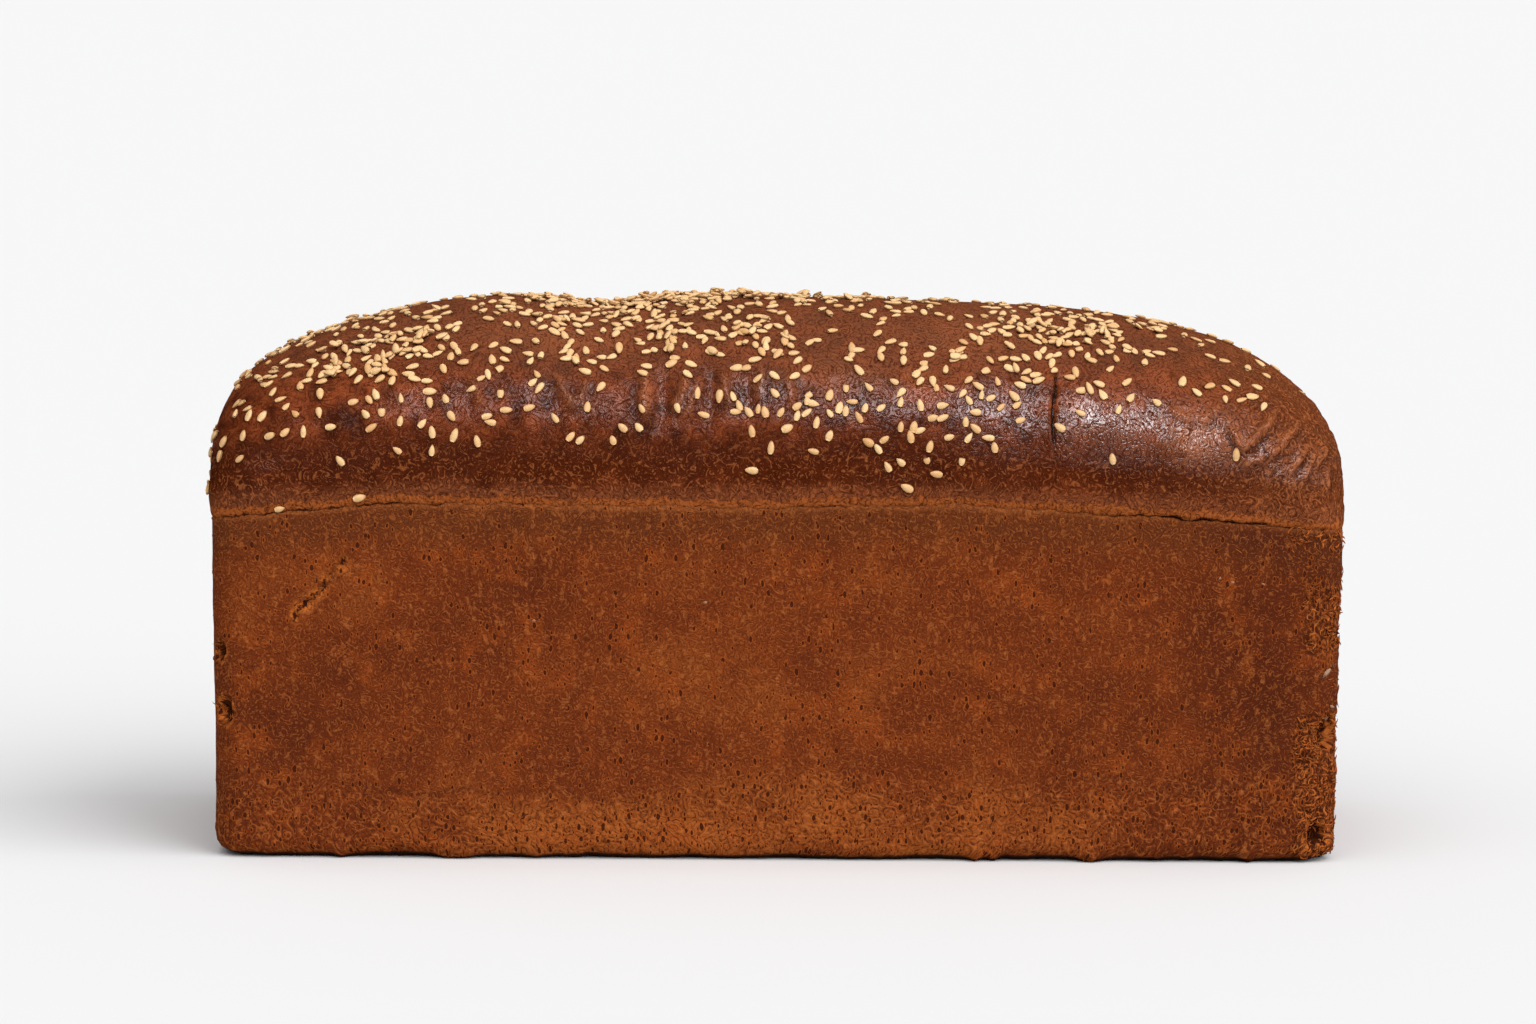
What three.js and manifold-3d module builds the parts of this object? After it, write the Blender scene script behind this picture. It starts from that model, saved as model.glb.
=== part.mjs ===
// A long tin loaf of enriched bread. Its four walls and its base took the shape of a tin, and its glazed
// crown rose out of the tin, hangs a little over the walls and carries toasted seeds, which are fused to it.
// Millimetres, +Z up. +X runs along the loaf, and -Y is the side with the tear and the torn corners.
// The origin is the middle of the flat base.
import * as THREE from 'three';
import { mergeVertices } from 'three/addons/utils/BufferGeometryUtils.js';
import Module from 'manifold-3d';

// ---- driving dimensions ----
const RIM_LENGTH = 331; // at the crease, where the tin's rim was
const RIM_WIDTH = 102;
const BASE_LENGTH = 331.4; // the end walls are upright, the long walls lean in a little towards the floor
const BASE_WIDTH = 99.5;
const CREASE_HEIGHT = 105.5;
const CREASE_FALL_LEFT = 5; // how much lower the crease is at either end
const CREASE_FALL_RIGHT = 6.5;
const CORNER_RADIUS = 9; // upright corners of the walls
const DOME_CORNER_RADIUS = 24; // the crown is rounder in plan than the walls
const BASE_EDGE_RADIUS = 5.5;
const OVERHANG = 1; // crown beyond the walls
const CROWN_HEIGHT = 57; // crest above the crease
const CREST_FALL = 3.4; // the crest is this much higher than the middle at the left, and lower at the right
const ACROSS_POWER = 2.1; // 2 is an ellipse, more is fuller at the shoulders
const LEFT_END = { skirt: 14.5, length: 2.53, power: 2.56 }; // upright skirt under the dome, then its curve
const RIGHT_END = { skirt: 12.3, length: 4.1, power: 1.9 };
const SADDLE = { x: -54, spread: 17, depth: 2.4 }; // a shallow dip across the crest
const SWELL = { x: -95, spread: 27, height: 1.7 }; // and the rise beside it
const FOLD = { x: 81, depth: 2, halfWidth: 1.1, low: 6, high: 42 }; // the upright fold in the front shoulder
const SEED = { length: 3.6, width: 2.3, thickness: 1.25, sunk: 0.42, sides: 5, count: 148, spacing: 3.3 };

const HALF_LENGTH = RIM_LENGTH / 2 + OVERHANG;
const HALF_WIDTH = RIM_WIDTH / 2 + OVERHANG;

// Dents and ridges on the crown: place, reach along and across, and depth (a ridge's is negative).
const CROWN_MARKS = [
  { x: -101, y: -46, z: 30, along: 4, up: 12, depth: 1.2 },
  { x: -66, y: -49, z: 28, along: 5, up: 13, depth: 1.3 },
  { x: -33, y: -48, z: 32, along: 4, up: 9, depth: 2 },
  { x: -9, y: -48, z: 33, along: 4, up: 8, depth: 1.6 },
  { x: 22, y: -50, z: 26, along: 6, up: 12, depth: 1 },
  { x: 95, y: -51, z: 24, along: 6, up: 7, depth: 1.4 },
  { x: 134, y: -51, z: 22, along: 5, up: 4, depth: -1.5 },
  { x: 145, y: -50, z: 14, along: 4, up: 5, depth: -1.3 },
  { x: -30, y: 47, z: 33, along: 7, up: 11, depth: 1.5 },
  { x: 62, y: 49, z: 28, along: 6, up: 12, depth: 1.3 },
  { x: 118, y: 46, z: 32, along: 8, up: 9, depth: 1.2 },
  { x: -118, y: 48, z: 27, along: 6, up: 12, depth: 1.4 },
];

// Where the seeds lie thick: middle and spread in plan, and how thick.
const SEED_PATCHES = [
  { x: -118, y: -36, spreadX: 20, spreadY: 13, thick: 1 },
  { x: -42, y: -5, spreadX: 34, spreadY: 10, thick: 0.9 },
  { x: -25, y: -34, spreadX: 26, spreadY: 11, thick: 0.7 },
  { x: 86, y: -24, spreadX: 18, spreadY: 12, thick: 1 },
  { x: 42, y: -42, spreadX: 28, spreadY: 9, thick: 0.6 },
  { x: 15, y: 20, spreadX: 110, spreadY: 22, thick: 0.42 },
  { x: -148, y: -20, spreadX: 10, spreadY: 26, thick: 0.5 },
];
const THINNEST = 0.045;

// Holes torn where the crust stuck to the tin, as stretched balls: middle, half sizes and slant in degrees.
const HOLES = [
  { x: -163.9, y: -49.5, z: 61, half: [1.4, 3.5, 2.7], slant: 0 },
  { x: -163.6, y: -49.5, z: 43, half: [1.8, 4, 3.3], slant: 0 },
  { x: 162.8, y: -48.5, z: 38, half: [2.4, 4.5, 4], slant: -12 },
  { x: 161.1, y: -49, z: 8.5, half: [2.7, 4.5, 3.7], slant: 0 },
  { x: -133.5, y: -50.5, z: 80.5, half: [13, 1.9, 1.1], slant: 48 },
];

// Crumbs of crust pressed out at the tin's floor.
const CRUMBS = [
  { x: -94, halfWidth: 7, halfHeight: 2.4 },
  { x: 59, halfWidth: 1.9, halfHeight: 2 },
  { x: 64.5, halfWidth: 1.6, halfHeight: 1.9 },
  { x: 92.5, halfWidth: 3.4, halfHeight: 2.3 },
  { x: 139, halfWidth: 1.6, halfHeight: 2 },
];

// ---- how finely each form is divided ----
const CROWN_COLUMNS = 46;
const CROWN_ROWS = 18;
const WALL_SIDE_STEPS = 18;
const WALL_END_STEPS = 6;
const CORNER_STEPS = 4;

const wasm = await Module();
wasm.setup();

const smooth = (t) => {
  const s = Math.min(Math.max(t, 0), 1);
  return s * s * (3 - 2 * s);
};
const bell = (d) => Math.exp(-d * d);

// ---- between three.js geometry and solids that can be joined and cut ----
function solidOf(geometry) {
  const bare = geometry.clone();
  bare.deleteAttribute('normal');
  bare.deleteAttribute('uv');
  const merged = mergeVertices(bare, 1e-4);
  const corners = merged.index.array;
  const kept = [];
  for (let i = 0; i < corners.length; i += 3) {
    const [a, b, c] = [corners[i], corners[i + 1], corners[i + 2]];
    if (a !== b && b !== c && c !== a) kept.push(a, b, c);
  }
  return new wasm.Manifold(new wasm.Mesh({
    numProp: 3,
    vertProperties: new Float32Array(merged.attributes.position.array),
    triVerts: new Uint32Array(kept),
  }));
}

function geometryOf(solid) {
  const mesh = solid.getMesh();
  const geometry = new THREE.BufferGeometry();
  geometry.setAttribute('position', new THREE.BufferAttribute(new Float32Array(mesh.vertProperties), 3));
  geometry.setIndex(new THREE.BufferAttribute(new Uint32Array(mesh.triVerts), 1));
  geometry.computeVertexNormals();
  return geometry;
}

function geometryFrom(points, triangles) {
  const geometry = new THREE.BufferGeometry();
  geometry.setFromPoints(points);
  geometry.setIndex(triangles);
  return geometry;
}

// ---- rings: each one goes round the loaf counterclockwise, seen from above ----
function joinRings(triangles, lower, upper) {
  for (let n = 0; n < lower.length; n++) {
    const next = (n + 1) % lower.length;
    triangles.push(lower[n], lower[next], upper[next], lower[n], upper[next], upper[n]);
  }
}

function closeRing(points, triangles, ring, facesUp) {
  const middle = new THREE.Vector3();
  ring.forEach((index) => middle.add(points[index]));
  middle.divideScalar(ring.length);
  const centre = points.push(middle) - 1;
  for (let n = 0; n < ring.length; n++) {
    const next = (n + 1) % ring.length;
    if (facesUp) triangles.push(ring[n], ring[next], centre);
    else triangles.push(ring[next], ring[n], centre);
  }
}

// ---- the walls and the base ----
const creaseAt = (x) => {
  const left = smooth((-x - 110) / 70) * CREASE_FALL_LEFT;
  const right = smooth((x - 60) / 125) * CREASE_FALL_RIGHT;
  return CREASE_HEIGHT - left - right;
};

// A rounded rectangle in plan, with the same count of points at any size.
function roundedOutline(halfLength, halfWidth, radius) {
  const outline = [];
  const side = (fromX, fromY, toX, toY, steps) => {
    for (let s = 0; s < steps; s++) {
      const t = s / steps;
      outline.push([fromX + (toX - fromX) * t, fromY + (toY - fromY) * t]);
    }
  };
  const corner = (x, y, start) => {
    for (let s = 0; s < CORNER_STEPS; s++) {
      const angle = start + (s / CORNER_STEPS) * Math.PI / 2;
      outline.push([x + radius * Math.cos(angle), y + radius * Math.sin(angle)]);
    }
  };
  const alongX = halfLength - radius;
  const alongY = halfWidth - radius;
  side(-alongX, -halfWidth, alongX, -halfWidth, WALL_SIDE_STEPS);
  corner(alongX, -alongY, -Math.PI / 2);
  side(halfLength, -alongY, halfLength, alongY, WALL_END_STEPS);
  corner(alongX, alongY, 0);
  side(alongX, halfWidth, -alongX, halfWidth, WALL_SIDE_STEPS);
  corner(-alongX, alongY, Math.PI / 2);
  side(-halfLength, alongY, -halfLength, -alongY, WALL_END_STEPS);
  corner(-alongX, -alongY, Math.PI);
  return outline;
}

// The wall is never quite flat: slow waves of a few tenths of a millimetre, none at the base.
const wallWave = (x, y, z) => {
  const rise = smooth(z / 20);
  return 0.18 * rise * (Math.sin(x * 0.061 + z * 0.043) + Math.sin(x * 0.023 - z * 0.071 + y * 0.05));
};

// One ring of the wall: share 0 is the base and 1 the crease, and inset draws the ring in.
function wallRing(points, share, inset, lift) {
  const halfLength = (BASE_LENGTH + (RIM_LENGTH - BASE_LENGTH) * share) / 2 - inset;
  const halfWidth = (BASE_WIDTH + (RIM_WIDTH - BASE_WIDTH) * share) / 2 - inset;
  const outline = roundedOutline(halfLength, halfWidth, CORNER_RADIUS);
  return outline.map(([x, y]) => {
    const z = share * creaseAt(x) + lift;
    const wave = wallWave(x, y, z);
    const grown = 1 - wave / HALF_LENGTH;
    return points.push(new THREE.Vector3(x * grown, y - Math.sign(y) * wave, z)) - 1;
  });
}

function wallSolid() {
  const points = [];
  const triangles = [];
  const rings = [];
  for (const angle of [0, 30, 60, 90]) {
    const turn = THREE.MathUtils.degToRad(angle);
    const inset = BASE_EDGE_RADIUS * (1 - Math.sin(turn));
    rings.push(wallRing(points, 0, inset, BASE_EDGE_RADIUS * (1 - Math.cos(turn))));
  }
  for (const share of [0.27, 0.48, 0.7, 0.9, 1]) rings.push(wallRing(points, share, 0, 0));
  const insideCrown = 5;
  rings.push(wallRing(points, 1, insideCrown, insideCrown));
  for (let r = 1; r < rings.length; r++) joinRings(triangles, rings[r - 1], rings[r]);
  closeRing(points, triangles, rings[0], false);
  closeRing(points, triangles, rings[rings.length - 1], true);
  return solidOf(geometryFrom(points, triangles));
}

// ---- the crown ----
// Half its width at x: straight sides that end in rounded corners.
const halfWidthAt = (x, radius = DOME_CORNER_RADIUS) => {
  const past = Math.min(Math.max(Math.abs(x) - (HALF_LENGTH - radius), 0), radius);
  return HALF_WIDTH - radius + Math.sqrt(Math.max(radius ** 2 - past ** 2, 0));
};

const skirtAt = (x) => {
  const share = (x / HALF_LENGTH + 1) / 2;
  return LEFT_END.skirt + (RIGHT_END.skirt - LEFT_END.skirt) * share;
};

const foldDepth = (x, y, height) => {
  if (y > 0) return 0;
  const window = smooth((height - FOLD.low) / 8) * smooth((FOLD.high - height) / 6);
  return FOLD.depth * window * bell((x - FOLD.x) / FOLD.halfWidth);
};

const crownSink = (point) => {
  const height = point.z - CREASE_HEIGHT;
  let sink = foldDepth(point.x, point.y, height);
  for (const mark of CROWN_MARKS) {
    const across = Math.hypot(point.y - mark.y, height - mark.z) / mark.up;
    sink += mark.depth * bell((point.x - mark.x) / mark.along) * bell(across);
  }
  return sink;
};

// The dome over its plan, p along and q across from -1 to 1: a skirt's height plus a dome that falls to
// nothing at the plan's edge, as (1 - |x|^length)^(1/power) along it and the same kind of curve across it.
function domePoint(p, q) {
  const x = HALF_LENGTH * Math.sin(p * Math.PI / 2);
  const across = Math.sin(q * Math.PI / 2);
  const end = x < 0 ? LEFT_END : RIGHT_END;
  const along = (1 - Math.min(Math.abs(x) / HALF_LENGTH, 1) ** end.length) ** (1 / end.power);
  const over = Math.max(1 - Math.abs(across) ** ACROSS_POWER, 0) ** (1 / ACROSS_POWER);
  const crest = CROWN_HEIGHT - CREST_FALL * x / HALF_LENGTH
    - SADDLE.depth * bell((x - SADDLE.x) / SADDLE.spread)
    + SWELL.height * bell((x - SWELL.x) / SWELL.spread);
  const skirt = skirtAt(x);
  const z = CREASE_HEIGHT + skirt + (crest - skirt) * along * over;
  return new THREE.Vector3(x, halfWidthAt(x) * across, z);
}

function domeNormal(p, q) {
  const step = 0.004;
  const alongX = domePoint(Math.min(p + step, 1), q).sub(domePoint(Math.max(p - step, -1), q));
  const alongY = domePoint(p, Math.min(q + step, 1)).sub(domePoint(p, Math.max(q - step, -1)));
  return alongX.cross(alongY).normalize();
}

function crownPoint(p, q) {
  const point = domePoint(p, q);
  return point.addScaledVector(domeNormal(p, q), -crownSink(point));
}

// Columns are even along p, with a few close ones at the fold.
function crownColumns() {
  const columns = [];
  const clear = FOLD.halfWidth * 3;
  for (let i = 0; i <= CROWN_COLUMNS; i++) {
    const p = -1 + 2 * i / CROWN_COLUMNS;
    if (Math.abs(HALF_LENGTH * Math.sin(p * Math.PI / 2) - FOLD.x) > clear) columns.push(p);
  }
  for (const step of [-2.4, -1, 0, 1, 2.4]) {
    columns.push(Math.asin((FOLD.x + step * FOLD.halfWidth) / HALF_LENGTH) * 2 / Math.PI);
  }
  return columns.sort((a, b) => a - b);
}

// The skirt below the dome: at each drop (0 at the dome, 1 at the crease) how far it stands out. It swells,
// then turns in to the wall, and its last ring lies inside the wall.
const SKIRT_RINGS = [
  { drop: 0.3, out: 0.3 },
  { drop: 0.65, out: 0.2 },
  { drop: 0.88, out: -0.3 },
  { drop: 1, out: -0.9 },
  { drop: 1.03, out: -4 },
];

// The point at p and q on the flat faces that stand for the crown, so that what lies on them touches.
function facePoint(columns, p, q) {
  const next = Math.max(columns.findIndex((column) => column > p), 1);
  const [left, right] = [columns[next - 1], columns[next]];
  const row = (q + 1) / 2 * CROWN_ROWS;
  const low = Math.min(Math.floor(row), CROWN_ROWS - 1);
  const across = (p - left) / (right - left);
  const up = row - low;
  const corner = (column, step) => crownPoint(column, -1 + 2 * (low + step) / CROWN_ROWS);
  const start = corner(left, 0);
  const end = corner(right, 1);
  const middle = across > up ? corner(right, 0) : corner(left, 1);
  const least = Math.min(across, up);
  const most = Math.max(across, up);
  return start.multiplyScalar(1 - most).addScaledVector(middle, most - least).addScaledVector(end, least);
}

function crownSolid() {
  const points = [];
  const triangles = [];
  const columns = crownColumns();
  const last = columns.length - 1;
  const at = (i, j) => i * (CROWN_ROWS + 1) + j;
  for (const p of columns) {
    for (let j = 0; j <= CROWN_ROWS; j++) points.push(crownPoint(p, -1 + 2 * j / CROWN_ROWS));
  }
  for (let i = 0; i < last; i++) {
    for (let j = 0; j < CROWN_ROWS; j++) {
      triangles.push(at(i, j), at(i + 1, j), at(i + 1, j + 1), at(i, j), at(i + 1, j + 1), at(i, j + 1));
    }
  }
  let edge = [];
  for (let i = 0; i < last; i++) edge.push(at(i, 0));
  for (let j = 0; j < CROWN_ROWS; j++) edge.push(at(last, j));
  for (let i = last; i > 0; i--) edge.push(at(i, CROWN_ROWS));
  for (let j = CROWN_ROWS; j > 0; j--) edge.push(at(0, j));

  const top = edge.map((index) => points[index].clone());
  for (const { drop, out } of SKIRT_RINGS) {
    const radius = DOME_CORNER_RADIUS + (CORNER_RADIUS + OVERHANG - DOME_CORNER_RADIUS) * drop;
    const plan = top.map(({ x, y }) => {
      const alongSide = Math.abs(x) < HALF_LENGTH - 0.01;
      if (alongSide) return new THREE.Vector3(x, Math.sign(y) * halfWidthAt(x, radius), 0);
      return new THREE.Vector3(x, y * (HALF_WIDTH - radius) / (HALF_WIDTH - DOME_CORNER_RADIUS), 0);
    });
    const lower = top.map((start, n) => {
      const before = plan[(n + plan.length - 1) % plan.length];
      const after = plan[(n + 1) % plan.length];
      const outward = new THREE.Vector3(after.y - before.y, before.x - after.x, 0).normalize();
      const point = plan[n].clone().addScaledVector(outward, out);
      point.z = start.z + (creaseAt(start.x) - start.z) * drop;
      if (drop < 1) point.addScaledVector(outward, -crownSink(point));
      return points.push(point) - 1;
    });
    joinRings(triangles, lower, edge);
    edge = lower;
  }
  closeRing(points, triangles, edge, false);
  return solidOf(geometryFrom(points, triangles));
}

// ---- seeds ----
// A flat drop shape lying along X: round at one end and pointed at the other.
function seedGeometry() {
  const half = SEED.width / 2;
  const profile = [[0, 0], [half * 0.92, 0.27], [half * 0.86, 0.62], [0, 1]];
  const points = profile.map(([radius, along]) => new THREE.Vector2(radius, (along - 0.5) * SEED.length));
  const seed = new THREE.LatheGeometry(points, SEED.sides);
  seed.rotateZ(-Math.PI / 2);
  seed.rotateX(Math.PI);
  seed.scale(1, 1, SEED.thickness / SEED.width);
  return seed;
}

const seedDensity = (x, y) => {
  let density = THINNEST;
  for (const patch of SEED_PATCHES) {
    density += patch.thick * bell((x - patch.x) / patch.spreadX) * bell((y - patch.y) / patch.spreadY);
  }
  const fromEnd = HALF_LENGTH - Math.abs(x);
  const fromSide = HALF_WIDTH - Math.abs(y);
  return density * smooth((fromEnd - 8) / 16) * smooth((fromSide - 1.5) / 4);
};

// Draws from 0 to 1 that look random and are the same every time.
function drawsFrom(start) {
  let state = start;
  return () => {
    state = (Math.imul(state, 1664525) + 1013904223) >>> 0;
    return state / 2 ** 32;
  };
}

// Seeds fall evenly over the plan, and each stays with the chance that the patches give its place.
function seedPlaces() {
  const draw = drawsFrom(2024);
  const places = [];
  while (places.length < SEED.count) {
    const [x, y] = [(draw() * 2 - 1) * HALF_LENGTH, (draw() * 2 - 1) * HALF_WIDTH];
    const [turn, chance] = [draw() * Math.PI * 2, draw()];
    const clear = places.every((other) => Math.hypot(other.x - x, other.y - y) > SEED.spacing);
    if (clear && chance < seedDensity(x, y)) places.push({ x, y, turn });
  }
  return places;
}

function seedSolid(columns, { x, y, turn }) {
  const p = Math.asin(x / HALF_LENGTH) * 2 / Math.PI;
  const q = Math.asin(y / halfWidthAt(x)) * 2 / Math.PI;
  const up = domeNormal(p, q);
  const along = new THREE.Vector3(Math.cos(turn), Math.sin(turn), 0);
  along.addScaledVector(up, -along.dot(up)).normalize();
  const across = new THREE.Vector3().crossVectors(up, along);
  const middle = facePoint(columns, p, q).addScaledVector(up, SEED.thickness / 2 - SEED.sunk);
  const placed = new THREE.Matrix4().makeBasis(along, across, up).setPosition(middle);
  return solidOf(seedGeometry().applyMatrix4(placed));
}

// ---- holes and crumbs ----
function ball(halfSizes, x, y, z, slant, columns, rows) {
  const shape = new THREE.SphereGeometry(1, columns, rows);
  shape.scale(...halfSizes);
  shape.rotateY(THREE.MathUtils.degToRad(-slant));
  shape.translate(x, y, z);
  return solidOf(shape);
}

const holeSolid = ({ x, y, z, half, slant }) => ball(half, x, y, z, slant, 10, 6);

function crumbSolid({ x, halfWidth, halfHeight }) {
  const y = -BASE_WIDTH / 2 + BASE_EDGE_RADIUS * 0.35;
  return ball([halfWidth, 2.4, halfHeight], x, y, halfHeight + 0.1, 0, 8, 5);
}

// ---- the loaf ----
function loafSolid() {
  let loaf = wallSolid().add(crownSolid());
  for (const crumb of CRUMBS) loaf = loaf.add(crumbSolid(crumb));
  for (const hole of HOLES) loaf = loaf.subtract(holeSolid(hole));
  const columns = crownColumns();
  for (const place of seedPlaces()) loaf = loaf.add(seedSolid(columns, place));
  return loaf;
}

const crust = new THREE.MeshStandardMaterial({ color: 0x7e3c17, roughness: 0.62, metalness: 0 });
const loaf = new THREE.Mesh(geometryOf(loafSolid()), crust);
loaf.name = 'loaf';

const group = new THREE.Group();
group.add(loaf);
export default group;
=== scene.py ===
# %% [markdown]
# # A long tin loaf with a glazed crown
#
# The loaf is one baked thing with three looks: pale-grained walls that touched the tin, a dark egg-glazed
# crown that rose out of it, and sesame seeds stuck to the glaze. The measured frame gives its size, and this
# lesson dresses it: a crown and a wall worked out on grids, seeds strewn by a rule, and a material for each.

# %% Load the measured frame
import math

import bpy
import numpy as np
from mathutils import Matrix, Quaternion, Vector


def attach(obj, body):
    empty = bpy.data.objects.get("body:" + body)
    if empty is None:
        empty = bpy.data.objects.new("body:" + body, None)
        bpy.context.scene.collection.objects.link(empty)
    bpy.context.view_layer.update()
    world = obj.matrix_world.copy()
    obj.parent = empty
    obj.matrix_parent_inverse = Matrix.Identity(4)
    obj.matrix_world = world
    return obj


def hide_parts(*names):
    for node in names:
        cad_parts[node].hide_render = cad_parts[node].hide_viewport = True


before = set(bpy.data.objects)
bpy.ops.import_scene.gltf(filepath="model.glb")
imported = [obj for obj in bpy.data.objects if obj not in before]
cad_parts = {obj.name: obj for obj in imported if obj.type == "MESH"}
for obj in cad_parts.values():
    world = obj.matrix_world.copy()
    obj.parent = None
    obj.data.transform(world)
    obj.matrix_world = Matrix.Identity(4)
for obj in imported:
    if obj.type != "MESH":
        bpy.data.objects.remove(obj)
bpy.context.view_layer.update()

# %% [markdown]
# ## Sizes
#
# The walls keep the shape of their tin, so a few real sizes drive everything: the rim, the floor of the tin,
# the height of the crease and of the crown. They are in metres, as all of Blender's numbers here are.

# %% Driving sizes
MM = 0.001
RIM_LENGTH = 331 * MM
RIM_WIDTH = 102 * MM
BASE_LENGTH = 331.4 * MM
BASE_WIDTH = 99.5 * MM
CREASE_HEIGHT = 105.5 * MM
CREASE_FALL_LEFT = 5 * MM
CREASE_FALL_RIGHT = 6.5 * MM
CORNER_RADIUS = 9 * MM
DOME_CORNER_RADIUS = 24 * MM
BASE_EDGE_RADIUS = 5.5 * MM
OVERHANG = 1 * MM
CROWN_HEIGHT = 57 * MM
CREST_FALL = 3.4 * MM
ACROSS_POWER = 2.1
LEFT_END = {"skirt": 14.5 * MM, "length": 2.53, "power": 2.56}
RIGHT_END = {"skirt": 12.3 * MM, "length": 4.1, "power": 1.9}
HALF_LENGTH = RIM_LENGTH / 2 + OVERHANG
HALF_WIDTH = RIM_WIDTH / 2 + OVERHANG

# %% [markdown]
# ## Curves and slow noise
#
# Bread has no sharp rule anywhere, so two soft curves do most of the work: a smooth step and a bell. Slow
# noise on a lattice gives the rest. It is worked out for whole arrays of points at once.


# %% Smooth steps, bells and lattice noise
LATTICE_MIDDLE = 1000  # keeps every place on the lattice above 0


def smooth(value, low=0.0, high=1.0):
    """0 below low and 1 above high, with a smooth S between: 3t^2 - 2t^3."""
    t = np.clip((value - low) / (high - low), 0, 1)
    return t * t * (3 - 2 * t)


def bell(distance):
    """A hill of height 1 that fades with distance: e to the minus distance squared."""
    return np.exp(-distance * distance)


def lattice_value(ix, iy, iz, seed):
    """A steady value from -1 to 1 for each whole-number place, mixed by multiply, shift and xor."""
    mixed = (ix * 374761393 + iy * 668265263 + iz * 2246822519 + seed * 3266489917) & 0xFFFFFFFF
    mixed = ((mixed ^ (mixed >> 13)) * 1274126177) & 0xFFFFFFFF
    return ((mixed ^ (mixed >> 16)) & 0xFFFF) / 32767.5 - 1


def noise(points, cell, seed=0):
    """Values on a lattice of cells, joined smoothly: at each point the eight corner values are blended."""
    places = points / cell + LATTICE_MIDDLE
    whole = np.floor(places).astype(np.int64)
    part = places - whole
    part = part * part * (3 - 2 * part)
    total = np.zeros(len(points))
    for corner in range(8):
        step = np.array([corner & 1, corner >> 1 & 1, corner >> 2 & 1])
        share = np.prod(np.where(step, part, 1 - part), axis=1)
        x, y, z = (whole + step).T
        total += share * lattice_value(x, y, z, seed)
    return total


def layered_noise(points, cell, seed=0, layers=3):
    """Noise at a cell, half the cell, a quarter and so on, each half as strong."""
    return sum(noise(points, cell / 2**n, seed + n) / 2**n for n in range(layers))


def ripples(points, layers):
    """Several noises added up, each given as its strength, its cell in mm and its seed."""
    return sum(strength * noise(points, cell * MM, seed) for strength, cell, seed in layers)


def slanted(across, up, slant):
    """The same offsets measured along a line that slants by so many degrees, and square to it."""
    cos, sin = math.cos(math.radians(slant)), math.sin(math.radians(slant))
    return across * cos + up * sin, up * cos - across * sin


# %% [markdown]
# ## The crown's form
#
# The dough rose over the rim, swelled a little past it and set. Over its plan, a rounded rectangle, the crown
# is a short upright skirt with a dome on it that falls to nothing at the plan's edge. The ends differ, the
# crest dips once, and the rim's crease falls towards both ends.


# %% Crease, plan and dome
CREASE_WOBBLE = [(0.6, 24, 7), (0.45, 5, 8), (0.25, 2, 9)]
SADDLE = {"x": -54 * MM, "spread": 17 * MM, "depth": 2.4 * MM}
SWELL = {"x": -95 * MM, "spread": 27 * MM, "height": 1.7 * MM}


def crease_at(x):
    """Height of the crease: level in the middle, lower by a smooth step at each end, never quite straight."""
    left = smooth(-x, 110 * MM, 180 * MM) * CREASE_FALL_LEFT
    right = smooth(x, 60 * MM, 185 * MM) * CREASE_FALL_RIGHT
    along = np.stack([x, 0 * x, 0 * x], axis=1)
    return CREASE_HEIGHT - left - right + ripples(along, CREASE_WOBBLE) * MM


def half_width_at(x, radius=DOME_CORNER_RADIUS):
    """Half the plan's width at x: straight sides that end in quarter circles."""
    past = np.clip(np.abs(x) - (HALF_LENGTH - radius), 0, radius)
    return HALF_WIDTH - radius + np.sqrt(np.maximum(radius**2 - past**2, 0))


def dome(p, q):
    """Skirt height plus crest times (1 - |x|^length)^(1/power) along and the same kind of curve across.

    p runs along the loaf and q across it, from -1 to 1, closer together towards the steep edges."""
    x = HALF_LENGTH * np.sin(p * np.pi / 2)
    across = np.sin(q * np.pi / 2)
    left = x < 0
    length = np.where(left, LEFT_END["length"], RIGHT_END["length"])
    power = np.where(left, LEFT_END["power"], RIGHT_END["power"])
    along = (1 - np.minimum(np.abs(x) / HALF_LENGTH, 1) ** length) ** (1 / power)
    over = np.maximum(1 - np.abs(across) ** ACROSS_POWER, 0) ** (1 / ACROSS_POWER)
    crest = CROWN_HEIGHT - CREST_FALL * x / HALF_LENGTH
    crest = crest - SADDLE["depth"] * bell((x - SADDLE["x"]) / SADDLE["spread"])
    crest = crest + SWELL["height"] * bell((x - SWELL["x"]) / SWELL["spread"])
    share = (x / HALF_LENGTH + 1) / 2
    skirt = LEFT_END["skirt"] + (RIGHT_END["skirt"] - LEFT_END["skirt"]) * share
    z = CREASE_HEIGHT + skirt + (crest - skirt) * along * over
    return np.stack(np.broadcast_arrays(x, half_width_at(x) * across, z), axis=-1)


# %% [markdown]
# ## From arrays to a mesh
#
# A grid of points becomes faces by pairing each point with its neighbours. One helper puts points and faces
# into a mesh, one moves each point along its own normal, and one stores a value per point for the materials.


# %% Mesh helpers
def grid_faces(index, closed=False):
    """Quads between neighbours of a table of point numbers, rows by columns; closed joins the last column."""
    if closed:
        index = np.concatenate([index, index[:, :1]], axis=1)
    corners = [index[:-1, :-1], index[:-1, 1:], index[1:, 1:], index[1:, :-1]]
    return np.stack(corners, axis=-1).reshape(-1, 4)


def fan(ring, centre, turned=False):
    """Triangles from each side of a ring to one centre point."""
    ahead = np.roll(ring, -1)
    first, second = (ahead, ring) if turned else (ring, ahead)
    return np.stack([first, second, np.full(len(ring), centre)], axis=1)


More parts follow.
